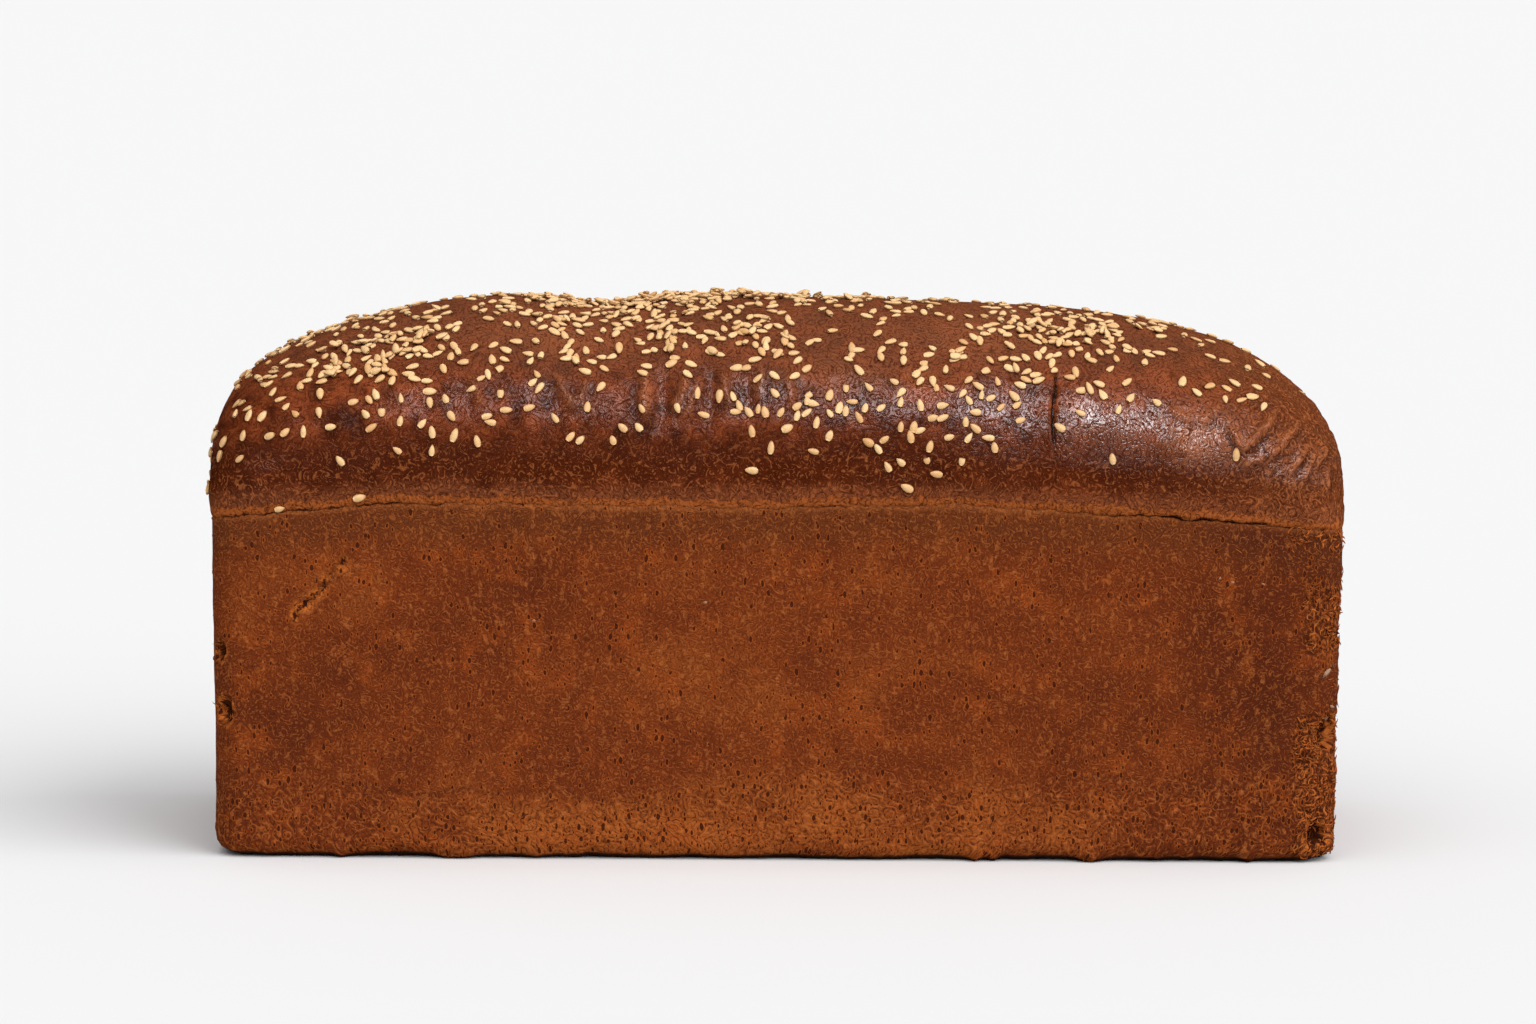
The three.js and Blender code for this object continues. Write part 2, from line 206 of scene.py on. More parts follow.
def mesh_piece(name, points, faces):
    """A smooth-shaded object at the origin from an array of points and a list of face arrays."""
    mesh = bpy.data.meshes.new(name)
    corners = [face for block in faces for face in np.asarray(block).tolist()]
    mesh.from_pydata(np.asarray(points).tolist(), [], corners)
    mesh.polygons.foreach_set("use_smooth", np.ones(len(mesh.polygons), bool))
    piece = bpy.data.objects.new(name, mesh)
    bpy.context.scene.collection.objects.link(piece)
    return piece


def rows_of(values, field):
    """Three numbers for each point, as an array with one row a point."""
    flat = np.empty(len(values) * 3)
    values.foreach_get(field, flat)
    return flat.reshape(-1, 3)


def points_of(piece):
    """The piece's points, one row of x, y, z each."""
    return rows_of(piece.data.vertices, "co")


def normals_of(piece):
    """The outward direction at each point."""
    return rows_of(piece.data.vertex_normals, "vector")


def push_out(piece, relief):
    """Moves each point along its own normal by its relief; nothing goes below the table."""
    places = points_of(piece) + normals_of(piece) * relief[:, None]
    places[:, 2] = np.maximum(places[:, 2], 0)
    piece.data.vertices.foreach_set("co", places.ravel())
    piece.data.update()


def store(piece, name, values):
    """Keeps a number for each point, or a place of x, y and z, under a name that a material can read."""
    values = np.asarray(values, np.float32)
    kind, field = ("FLOAT", "value") if values.ndim == 1 else ("FLOAT_VECTOR", "vector")
    piece.data.attributes.new(name, kind, "POINT").data.foreach_set(field, values.ravel())


def area_of_points(piece):
    """How much surface each point stands for: an equal share of every face that it is a corner of."""
    mesh = piece.data
    corners = np.empty(len(mesh.loops), np.int32)
    mesh.loops.foreach_get("vertex_index", corners)
    areas, sizes = np.empty(len(mesh.polygons)), np.empty(len(mesh.polygons), np.int32)
    mesh.polygons.foreach_get("area", areas)
    mesh.polygons.foreach_get("loop_total", sizes)
    return np.bincount(corners, np.repeat(areas / sizes, sizes), len(mesh.vertices))


def triangle_count(piece):
    """How many triangles the piece's faces make."""
    return sum(len(face.vertices) - 2 for face in piece.data.polygons)


# %% [markdown]
# ## The crown's mesh
#
# Even spacing matters more than a tidy formula, because the glaze shows every stretched face. So columns and
# rows are spaced by their distance along the crest and across the middle, with closer columns at the fold and
# the ridges. The dome's edge then runs down the skirt in rings, turns in under the lip, and closes inside the
# walls.

# %% Spacing along and across
FOLD_X = 81 * MM
CROWN_STEP = 0.94 * MM
CURVE_POINTS = 4001


def even_steps(curve, step, weight):
    """Values of the curve's parameter that lie one step apart along it, closer where the weight is higher."""
    fine = np.linspace(-1, 1, CURVE_POINTS)
    places = curve(fine)
    lengths = np.linalg.norm(np.diff(places, axis=0), axis=1)
    lengths = lengths * weight((places[1:] + places[:-1]) / 2)
    travelled = np.concatenate([[0], np.cumsum(lengths)])
    count = int(round(travelled[-1] / step))
    return np.interp(np.linspace(0, travelled[-1], count + 1), travelled, fine)


def column_weight(places):
    """Closer columns at the fold and over the ridges beside the right end."""
    x = places[:, 0]
    return 1 + 2 * bell((x - FOLD_X) / (2.5 * MM)) + 0.4 * smooth(x, 108 * MM, 118 * MM)


columns = even_steps(lambda p: dome(p, 0 * p), CROWN_STEP, column_weight)
rows = even_steps(lambda q: dome(0 * q, q), CROWN_STEP, lambda c: np.ones(len(c)))
print("crown grid:", len(columns), "columns,", len(rows), "rows")


# %% The skirt under the dome
SKIRT_RINGS = 19
INNER_RINGS = [(1.03, 2.2 * MM), (1.05, 6 * MM)]  # drop past the crease, and how far inside the wall


def skirt_out(drop, outward):
    """How far the skirt stands out: it swells below the dome, then turns in to the wall at the crease.

    It turns in slowly on the long sides, where the dough grew along the rim, and sharply at the ends."""
    power = 2.6 + 4.4 * np.abs(outward[:, :1]) ** 2
    return (1.2 * drop * (1 - drop) - 0.9 * drop**power) * MM


def ring_plan(x, y, radius):
    """The dome's edge points moved to a plan with another corner radius, and each one's outward direction."""
    at_end = np.abs(x) > HALF_LENGTH - 1e-6
    side_y = np.sign(y) * half_width_at(x, radius)
    end_y = y * (HALF_WIDTH - radius) / (HALF_WIDTH - DOME_CORNER_RADIUS)
    plan = np.stack([x, np.where(at_end, end_y, side_y)], axis=1)
    tangent = np.roll(plan, -1, axis=0) - np.roll(plan, 1, axis=0)
    outward = np.stack([tangent[:, 1], -tangent[:, 0]], axis=1)
    return plan, outward / np.linalg.norm(outward, axis=1, keepdims=True)


def crown_mesh():
    """The dome's grid, the skirt's rings below its edge, and a closing fan inside the walls."""
    grid = dome(columns[:, None], rows[None, :])
    index = np.arange(grid.shape[0] * grid.shape[1]).reshape(grid.shape[:2])
    edge = np.concatenate([index[:-1, 0], index[-1, :-1], index[:0:-1, -1], index[0, :0:-1]])
    points = [grid.reshape(-1, 3)]
    top = points[0][edge]
    crease = crease_at(top[:, 0])
    rings = [edge]
    for drop, inset in [(drop, 0) for drop in np.linspace(0, 1, SKIRT_RINGS + 1)[1:]] + INNER_RINGS:
        radius = DOME_CORNER_RADIUS + (CORNER_RADIUS + OVERHANG - DOME_CORNER_RADIUS) * min(drop, 1)
        plan, outward = ring_plan(top[:, 0], top[:, 1], radius)
        plan = plan + outward * (skirt_out(min(drop, 1), outward) - inset)
        rings.append(np.arange(len(edge)) + sum(len(block) for block in points))
        points.append(np.column_stack([plan, top[:, 2] + (crease - top[:, 2]) * drop]))
    centre = sum(len(block) for block in points)
    points.append(points[-1].mean(axis=0, keepdims=True))
    skirt = grid_faces(np.array(rings), closed=True)[:, ::-1]
    faces = [grid_faces(index)[:, ::-1], skirt, fan(rings[-1], centre, turned=True)]
    return mesh_piece("glazed-crown", np.concatenate(points), faces)


crown = crown_mesh()
print("crown triangles:", triangle_count(crown))

# %% [markdown]
# ## Dents, ridges and the upright fold
#
# The skin of a rising loaf wrinkles where it hung up on itself. The photo shows soft dents along the front
# shoulder, thin ridges that fan out at the right end and one upright fold. Each is a bell-shaped mark, and
# slow noise makes the rest of the surface as uneven as dough.

# %% Marks on the crown
CROWN_MARKS = [
    # x, y, height above the crease, reach along, reach up, depth (a swelling is negative), all in mm
    (-101, -46, 30, 4, 12, 0.7),
    (-66, -49, 28, 5, 13, 0.9),
    (-33.5, -47, 33, 3.4, 9, 1.7),
    (-20, -47, 31, 3.0, 9, 1.1),
    (-9, -48, 34, 3.2, 7, 0.8),
    (22, -50, 26, 6, 12, 0.8),
    (96, -50, 25, 10, 9, -0.5),
    (134, -51, 22, 5, 4, -1.0),
    (-30, 47, 33, 7, 11, 1.5),
    (62, 49, 28, 6, 12, 1.3),
    (118, 46, 32, 8, 9, 1.2),
    (-118, 48, 27, 6, 12, 1.4),
]
RIDGES = [
    # middle x, height above the crease, half length, half width, slant in degrees, height, all lengths in mm
    (139.5, 21.5, 6.0, 0.9, 40, 1.9), (133.5, 20, 4.0, 0.8, -50, 1.3), (146, 18, 5.5, 0.8, 44, 1.3),
    (151, 14, 5.0, 0.8, 55, 1.4), (154.5, 12, 5.0, 0.8, 60, 1.3), (158, 14, 4.5, 0.8, 62, 1.1),
    (149, 22, 4.5, 0.9, 38, 1.0), (126, 27, 4.5, 0.9, 32, 0.8), (117, 27, 3.5, 0.9, -38, 0.7),
    (144, 26, 4.0, 0.9, 60, 0.8), (138, 14, 4.0, 0.8, 30, 0.9), (160, 8, 4.0, 0.8, 75, 0.9),
    (-88, 33, 5.0, 1.2, -75, 0.6), (-62, 33, 6.0, 1.2, -70, 0.7), (-57, 32, 5.0, 1.1, 80, 0.5),
    (-38.5, 33, 8.0, 1.4, -82, 0.9), (-28, 34, 7.5, 1.3, 78, 1.0), (-24.5, 31, 7.0, 1.1, 70, 0.7),
    (-15, 34, 6.0, 1.2, -80, 0.7), (-5, 36, 5.0, 1.1, 84, 0.6), (4, 33, 5.0, 1.1, -78, 0.5),
]
WRINKLED_PATCHES = [
    # middle x, height above the crease, reach along, reach up in mm, strength
    (-90, 33, 12, 8, 0.7), (-60, 32, 13, 10, 0.9), (-31, 32, 14, 11, 1.0), (-9, 35, 10, 8, 0.8),
    (95, 28, 20, 11, 0.5), (128, 26, 14, 9, 0.9), (150, 15, 10, 8, 1.0), (50, 30, 26, 9, 0.35),
    (-125, 28, 16, 9, 0.3),
]
STREAKED_PATCHES = [
    # the same, where fine slanting streaks pucker the crust
    (139, 21, 10, 7, 1.0), (150, 15, 9, 9, 1.0), (127, 26, 9, 6, 0.7), (157, 8, 6, 8, 0.6),
    (116, 27, 8, 5, 0.4),
]
FOLD_STEP = 1.0 * MM
FOLD_CLEFT = 0.9 * MM
# Noises in layers: strength, cell in mm, seed.
FOLD_WANDER = [(0.8, 9, 5), (0.55, 3.4, 9)]
DOUGH_WAVES = [(0.5, 42, 1), (0.3, 15, 2), (0.12, 2.6, 4)]
ROUGH_END = [(0.3, 4, 24), (0.22, 1.9, 25)]


def patches_at(across, up, patches):
    """The strongest of several soft oval patches at each point."""
    strengths = [s * bell((across / MM - a) / ra) * bell((up / MM - u) / ru) for a, u, ra, ru, s in patches]
    return np.max(strengths, axis=0)


def beside_fold(points):
    """How far each point is to the right of the fold's line, which wanders, and a window over its length."""
    height = points[:, 2] - CREASE_HEIGHT
    wander = ripples(points * [0, 0, 1], FOLD_WANDER) * MM
    window = 0.35 * smooth(height, 3 * MM, 8 * MM) + 0.65 * smooth(height, 14 * MM, 24 * MM)
    window = window * smooth(-height, -41 * MM, -36 * MM) * (points[:, 1] < 0)
    return points[:, 0] - FOLD_X - wander, window


def fold_relief(points):
    """A step: the left side swells up to the line, drops into a narrow cleft and climbs slowly again."""
    right, window = beside_fold(points)
    past = smooth(right, -0.4 * MM, 0.4 * MM)
    swollen = 0.45 * MM * bell(right / (5 * MM)) * (1 - past)
    sunk = FOLD_STEP * np.exp(-np.maximum(right, 0) / (2.6 * MM)) * past
    return window * (swollen - sunk - FOLD_CLEFT * bell(right / (0.5 * MM)))


def ridge_relief(points, aside=0.0):
    """Thin ridges on the front: a bell across each line, faded at its ends. Aside shifts it by half widths."""
    total = np.zeros(len(points))
    wander = 0.9 * noise(points, 4 * MM, 10) + aside
    for x, up, half_length, half_width, slant, out in RIDGES:
        along, across = slanted(points[:, 0] / MM - x, (points[:, 2] - CREASE_HEIGHT) / MM - up, slant)
        total += out * bell(across / half_width + wander) * smooth(1.2 - np.abs(along / half_length), 0, 0.7)
    return total * MM * (points[:, 1] < 0)


def crown_relief(points):
    """Outward movement at each point: minus the marks, plus the fold, the ridges and slow noise."""
    x, y, z = points.T
    height = z - CREASE_HEIGHT
    above = z - crease_at(x)
    front = np.where(y < 0, 1, 0.5)
    upright = points * [1, 0.35, 0.35]
    wrinkled = patches_at(x, height, WRINKLED_PATCHES) * front
    flanks = smooth(-height, -48 * MM, -20 * MM)
    relief = ripples(points, DOUGH_WAVES) + 0.18 * flanks * noise(upright, 5.5 * MM, 3)
    relief += 0.4 * wrinkled * (0.4 - np.abs(noise(upright, 3.2 * MM, 12)))
    relief += smooth(x, 118 * MM, 145 * MM) * front * ripples(points, ROUGH_END)
    for mark_x, mark_y, mark_up, along, up, depth in CROWN_MARKS:
        reach = np.hypot(y / MM - mark_y, height / MM - mark_up) / up
        relief -= depth * bell((x / MM - mark_x) / along) * bell(reach)
    relief = relief * MM + fold_relief(points) + ridge_relief(points)
    edge = 0.3 * MM * noise(points, 2.6 * MM, 6) * bell((above - 0.8 * MM) / (1.6 * MM))
    return relief * smooth(above, 0, 6 * MM) + edge


crown_form = points_of(crown)
relief = crown_relief(crown_form)
push_out(crown, relief)
print("deepest dent, mm:", round(float(-relief.min() / MM), 2))

# %% [markdown]
# ## The walls' mesh
#
# The tin gave the walls their shape: a rounded rectangle that narrows slightly downwards, with a rounded
# bottom edge. The wall is one grid, round the loaf by height. Its columns are closest on the long side with
# the tear, where most of the torn detail is.


# %% Plan outline and rings
def outline(half_length, half_width, radius, places):
    """Points round a rounded rectangle, at places that are shares of its length measured from one corner."""
    straight_x = 2 * (half_length - radius)
    straight_y = 2 * (half_width - radius)
    arc = radius * math.pi / 2
    spans = np.cumsum([0, straight_x, arc, straight_y, arc, straight_x, arc, straight_y, arc])
    travelled = places * spans[-1]
    points = np.zeros((len(places), 2))
    ax, ay = half_length - radius, half_width - radius
    starts = [(-ax, -half_width), (half_length, -ay), (ax, half_width), (-half_length, ay)]
    ways = [(1, 0), (0, 1), (-1, 0), (0, -1)]
    centres = [(ax, -ay), (ax, ay), (-ax, ay), (-ax, -ay)]
    for side in range(4):
        on_line = (travelled >= spans[2 * side]) & (travelled < spans[2 * side + 1])
        along = (travelled[on_line] - spans[2 * side])[:, None]
        points[on_line] = np.array(starts[side]) + along * np.array(ways[side])
        on_arc = (travelled >= spans[2 * side + 1]) & (travelled < spans[2 * side + 2])
        angle = (travelled[on_arc] - spans[2 * side + 1]) / radius + (side - 1) * math.pi / 2
        turn = np.stack([np.cos(angle), np.sin(angle)], axis=1)
        points[on_arc] = np.array(centres[side]) + radius * turn
    return points


FRONT_STEP = 0.76 * MM
OTHER_STEP = 1.25 * MM
WALL_ROW_STEP = 0.98 * MM
CORNER_GAP = 1e-6  # the last place stays short of the whole way round
PLAN_STEPS = 8000
BASE_ARC_RINGS = 6
TOP_RINGS = [(1.0, 0.9 * MM, 0.3 * MM), (1.0, 3 * MM, 0.5 * MM)]  # share of the height, inset and lift


def wall_places():
    """Shares of the way round, close together on the front and its corners and wider apart elsewhere."""
    fine = np.linspace(0, 1, PLAN_STEPS + 1)
    plan = outline(RIM_LENGTH / 2, RIM_WIDTH / 2, CORNER_RADIUS, np.minimum(fine, 1 - CORNER_GAP))
    front = smooth(-plan[:, 1], 20 * MM, 45 * MM)
    density = 1 / (OTHER_STEP + (FRONT_STEP - OTHER_STEP) * front)
    travelled = np.concatenate([[0], np.cumsum((density[1:] + density[:-1]) / 2)])
    count = int(travelled[-1] * 2 * (RIM_LENGTH + RIM_WIDTH) / PLAN_STEPS)
    return np.interp(np.arange(count) / count * travelled[-1], travelled, fine)


def wall_mesh(places):
    """Rings from the base's edge up to the crease, turned in at the top, with a flat fan at each end."""
    rings = []
    for turn in np.linspace(0, math.pi / 2, BASE_ARC_RINGS):
        rings.append((0.0, BASE_EDGE_RADIUS * (1 - math.sin(turn)), BASE_EDGE_RADIUS * (1 - math.cos(turn))))
    count = int((CREASE_HEIGHT - BASE_EDGE_RADIUS) / WALL_ROW_STEP)
    shares = np.linspace(BASE_EDGE_RADIUS / CREASE_HEIGHT, 1, count + 1)[1:]
    rings += [(share, 0.0, 0.0) for share in shares] + TOP_RINGS
    points = []
    for share, inset, lift in rings:
        length = BASE_LENGTH + (RIM_LENGTH - BASE_LENGTH) * share
        width = BASE_WIDTH + (RIM_WIDTH - BASE_WIDTH) * share
        plan = outline(length / 2 - inset, width / 2 - inset, CORNER_RADIUS, places)
        points.append(np.column_stack([plan, share * crease_at(plan[:, 0]) + lift]))
    middles = np.array([points[0].mean(axis=0), points[-1].mean(axis=0)])
    index = np.arange(len(rings) * len(places)).reshape(len(rings), len(places))
    under = fan(index[0], index.size, turned=True)
    over = fan(index[-1], index.size + 1)
    return mesh_piece("tin-wall", np.concatenate(points + [middles]), [grid_faces(index, True), under, over])


wall_columns = wall_places()
wall = wall_mesh(wall_columns)
wall_form = points_of(wall)
print("wall triangles:", triangle_count(wall))

# %% [markdown]
# ## Bands on the wall
#
# The lowest fifth of the wall is coarser and lighter: its pores are bigger, and a wavy line marks where it
# starts. At the top, the crease opens as a ragged crack towards both ends of the long sides.


# %% Bands and the crease's crack
BAND_WAVES = [(4.2, 46, 41), (2.0, 13, 42)]
CRACK_BREAKS = [(1.0, 9, 51), (0.6, 3, 52)]


def band_top(points):
    """How far each point is below the wavy line where the porous band starts."""
    return 23 * MM + ripples(points * [1, 1, 0], BAND_WAVES) * MM - points[:, 2]


def coarse_band(points):
    """1 in the porous band along the floor, fading over a few millimetres, and 0 above it."""
    return smooth(band_top(points) + 1.5 * MM * noise(points, 5 * MM, 44), -4 * MM, 4.5 * MM)


def band_line(points):
    """1 on the thin dark line over the porous band: plain near the left end of the front, else faint."""
    seen = bell((points[:, 0] + 104 * MM) / (20 * MM)) * (points[:, 1] < 0)
    seen = np.maximum(seen, 0.5 * smooth(noise(points * [1, 1, 0], 30 * MM, 43), 0.1, 0.5))
    return seen * bell(band_top(points) / (0.7 * MM))


def crease_gap(points):
    """How open the crease is: a ragged crack towards both ends, closed in the middle and where it frays."""
    x = points[:, 0]
    right = smooth(x, 88 * MM, 116 * MM)
    broken = smooth(ripples(points * [1, 1, 0], CRACK_BREAKS), -0.25 - 0.8 * right, 0.3)
    frayed = smooth(x, 149 * MM, 153 * MM) * (points[:, 1] < 0)
    return np.maximum(0.6 * smooth(-x, 50 * MM, 70 * MM), right) * broken * (1 - 0.8 * frayed)


# %% [markdown]
# ## Torn places and crumbs on the walls
#
# Where the crust stuck to the tin it tore: four open holes at the front corners, a slanting tear, and two
# strips of bare crumb up the right corner. Along the floor, dough was pressed out in small lumps. All of it
# is relief in the wall, and a value per point tells the material where the crumb is bare and where it is dark.

# %% Holes, tear and lumps
WALL_HOLES = [
    # middle x, y, z, half sizes along x, y and z, slant in degrees, depth, all lengths in mm
    (-163.4, -48.2, 61.3, 2.0, 3.6, 2.8, 0, 3.4),
    (-162.4, -48.8, 43.5, 2.4, 3.8, 3.5, 0, 3.6),
    (162.2, -49.2, 38.5, 3.0, 3.8, 4.4, -12, 3.8),
    (159.4, -49.8, 7.9, 3.2, 4.2, 4.2, 0, 4.2),
]
TEAR = {
    "x": -133.5 * MM, "z": 80.5 * MM, "slant": 48.0, "length": 12.5 * MM, "width": 0.62 * MM, "depth": 1.2 * MM,
}
FLOOR_LUMPS = [
    # middle x, half width and how far it stands out, in mm
    (-94, 7, 1.6), (59, 2.0, 2.0), (64.5, 1.7, 1.9), (92.5, 3.4, 2.4), (139, 1.7, 1.8), (-128, 2, 0.9),
    (-70, 3, 0.8), (22, 4, 0.7), (112, 3, 0.8), (-149, 3, 0.6),
]
CREASE_GAP_DEPTH = 0.6 * MM
TEAR_WANDER = [(1.0, 5, 21), (0.5, 1.7, 22)]
STRIP_WANDER = [(3.2, 9, 31), (1.6, 3, 32)]
WALL_WAVES = [(0.16, 13, 11), (0.09, 4.5, 12)]
FLOOR_WAVES = [(0.45, 6, 14), (0.25, 2.2, 15)]
CRUMB_WAVES = [(0.7, 2.6, 17), (0.35, 1.3, 18)]


def oval_hole(points, hole, wider=(1, 1, 1), wobble=0.0):
    """1 inside a stretched ball and 0 outside, with a rim that wobbles."""
    along, up = slanted(points[:, 0] / MM - hole[0], points[:, 2] / MM - hole[2], hole[6])
    offsets = np.stack([along, points[:, 1] / MM - hole[1], up], axis=1)
    away = np.linalg.norm(offsets / (np.array(hole[3:6]) * wider), axis=1)
    return smooth(1.25 + 0.25 * wobble - away, 0, 0.45)


def any_hole(points, wider=(1, 1, 1)):
    """The strongest of the holes at each point, with their half sizes made wider."""
    return np.max([oval_hole(points, hole, wider) for hole in WALL_HOLES], axis=0)


def tear_shape(points, widen=1.0):
    """1 along the slanting tear on the front, ragged at its edges and broken once."""
    along, across = slanted(points[:, 0] - TEAR["x"], points[:, 2] - TEAR["z"], TEAR["slant"])
    across = across + ripples(points, TEAR_WANDER) * MM
    body = bell(across / (TEAR["width"] * widen)) * smooth(1.1 - np.abs(along / TEAR["length"]), 0, 0.25)
    return body * smooth(points[:, 1], -44 * MM, -47 * MM)


def bare_crumb(points):
    """1 where the crust tore off the crumb: strips up the right front corner, small patches elsewhere."""
    x, y, z = points.T
    ragged = x - ripples(points, STRIP_WANDER) * MM
    low_strip = smooth(ragged + 3.5 * MM * smooth(z, 12 * MM, 2 * MM), 152 * MM, 154.5 * MM)
    low_strip = low_strip * smooth(-z, -48 * MM, -41 * MM)
    high_strip = smooth(ragged, 152.5 * MM, 155 * MM) * smooth(z, 60 * MM, 66 * MM)
    high_strip = high_strip * smooth(-z, -86 * MM, -80 * MM)
    strips = np.maximum(low_strip, high_strip) * smooth(-y, 38 * MM, 44 * MM)
    mouths = any_hole(points, (1.7, 1.5, 1.5)) * smooth(noise(points, 3 * MM, 33), -0.6, 0.3)
    return np.maximum(strips, np.maximum(mouths, 0.5 * tear_shape(points, 2.0)))


def wall_relief(points):
    """Outward movement of the wall: slow waves, the coarse bottom band, lumps, holes and bare crumb."""
    x, y, z = points.T
    waves = np.sin(x / MM * 0.061 + z / MM * 0.043) + np.sin(x / MM * 0.023 - z / MM * 0.071 + y / MM * 0.05)
    relief = 0.18 * smooth(z, 0, 20 * MM) * waves + ripples(points, WALL_WAVES)
    relief += (0.05 + 0.07 * coarse_band(points)) * noise(points, 1.6 * MM, 13)
    relief += smooth(-z, -9 * MM, -2 * MM) * ripples(points, FLOOR_WAVES)
    uneven = 1 + 0.35 * noise(points, 2 * MM, 16)
    for place, half, out in FLOOR_LUMPS:
        relief += out * bell((x / MM - place) / half) * bell((z - 2.2 * MM) / (2.3 * MM)) * (y < 0) * uneven
    relief -= bare_crumb(points) * (0.5 + ripples(points, CRUMB_WAVES))
    wobble = noise(points, 2.5 * MM, 19)
    for hole in WALL_HOLES:
        relief -= hole[7] * oval_hole(points, hole, wobble=wobble)
    relief *= MM
    relief -= TEAR["depth"] * tear_shape(points) * smooth(noise(points, 2.6 * MM, 23), -0.7, -0.3)
    relief -= CREASE_GAP_DEPTH * crease_gap(points) * bell((crease_at(x) - z) / (0.8 * MM))
    return relief * smooth(z, -1 * MM, 0.6 * MM)


relief = wall_relief(wall_form)
push_out(wall, relief)
print("wall relief, mm:", np.round(np.percentile(relief / MM, [0, 5, 95, 100]), 2))

# %% [markdown]
# ## The camera
#
# It stands level with the crown, about 1.3 m away, and looks slightly down with a long lens, as the photo
# does. It comes before the seeds, because the lowest ones are placed where the photo shows them.

# %% Camera
PHOTO_SIZE = (1536, 1024)
LENS_MM = 100
SENSOR_MM = 36
CAMERA_DISTANCE = 1.295
CAMERA_ELEVATION = math.radians(8.0)
CAMERA_ROLL = math.radians(0.3)
LEVEL_POINT = 80 * MM
AIM = (-2.7 * MM, 0, 97.2 * MM)

camera_data = bpy.data.cameras.new("camera")
camera_data.lens = LENS_MM
camera_data.sensor_width = SENSOR_MM
camera = bpy.data.objects.new("camera", camera_data)
bpy.context.scene.collection.objects.link(camera)
bpy.context.scene.camera = camera
camera.location = (
    0,
    -CAMERA_DISTANCE * math.cos(CAMERA_ELEVATION),
    LEVEL_POINT + CAMERA_DISTANCE * math.sin(CAMERA_ELEVATION),
)


def turn_to(thing, target, roll=0.0):
    """Points an object's -Z at the target, with its Y up, then rolls it about its own axis."""
    way = Vector(target) - thing.location
    aimed = way.to_track_quat("-Z", "Y")
    thing.rotation_euler = (aimed @ Quaternion((0, 0, 1), roll)).to_euler()


turn_to(camera, AIM, CAMERA_ROLL)
bpy.context.view_layer.update()


def seen_at(points):
    """Where points fall in the photo's frame, in its pixels: divide by depth and scale by the lens."""
    inverse = np.array(camera.matrix_world.inverted())
    own = points @ inverse[:3, :3].T + inverse[:3, 3]
    pixels = LENS_MM / SENSOR_MM * PHOTO_SIZE[0]
    across = PHOTO_SIZE[0] / 2 - pixels * own[:, 0] / own[:, 2]
    down = PHOTO_SIZE[1] / 2 + pixels * own[:, 1] / own[:, 2]
    return np.column_stack([across, down])


marks = np.array([[0, -RIM_WIDTH / 2, CREASE_HEIGHT], [0, -BASE_WIDTH / 2, 0]])
print("crease and base in the photo's pixels:", np.round(seen_at(marks), 1).tolist())

# %% [markdown]
# ## Sesame seeds
#
# Seeds fell from above, so they lie thick on the crest, thin on the shoulders and hardly at all on the
# flanks. A few patches got a handful. How much of the crust they cover is a sum of soft patches over a thin
# sprinkling, and that share, times each point's area, gives the chance that a seed lies there. In a thick
# patch some lie on others. The lowest seeds, which stand out one by one, are placed where the photo has them.

# %% How a seed is shaped
SEED_LENGTH = 3.75 * MM
SEED_WIDTH = 2.2 * MM
SEED_THICKNESS = 1.1 * MM
SEED_SIDES = 8
SEED_STATIONS = np.array([0.05, 0.18, 0.38, 0.62, 0.82, 0.95])


def stick_faces(stations, sides):
    """Faces round a stick of rings, with a fan at each end; the two tips are the stick's last points."""
    index = np.arange(stations * sides).reshape(stations, sides)
    ends = [fan(index[0], index.size, turned=True), fan(index[-1], index.size + 1)]
    return [grid_faces(index, closed=True)[:, ::-1], *ends]


def joined_copies(name, points, faces):
    """One mesh from a table of points, copies by points by x, y, z, and the faces of a single copy."""
    shift = (np.arange(len(points)) * points.shape[1])[:, None, None]
    blocks = [(block[None] + shift).reshape(-1, block.shape[1]) for block in faces]
    return mesh_piece(name, points.reshape(-1, 3), blocks)


def seed_template(point_power, flat_end=0.0):
    """A flat drop lying along X: its width is sqrt(s) (1 - s)^power, with its widest place scaled to 1.

    Returns its points, and for each point how near the flat edge it is."""
    widest = 0.5 / (0.5 + point_power)
    most = widest**0.5 * (1 - widest) ** point_power
    along = SEED_STATIONS * (1 - flat_end)
    around = np.arange(SEED_SIDES) / SEED_SIDES * 2 * np.pi
    width = along**0.5 * (1 - along) ** point_power / most
    ring_x = np.repeat(along - 0.5, SEED_SIDES)
    ring_y = (width[:, None] * np.cos(around)).ravel() / 2
    ring_z = (width[:, None] ** 0.7 * np.sin(around)).ravel() / 2
    ends = [[-0.5, 0, 0], [0.5 - flat_end, 0, 0]]
    points = np.vstack([np.column_stack([ring_x, ring_y, ring_z]), ends])
    return points, np.concatenate([np.abs(np.tile(np.cos(around), len(along))), [1, 1]])


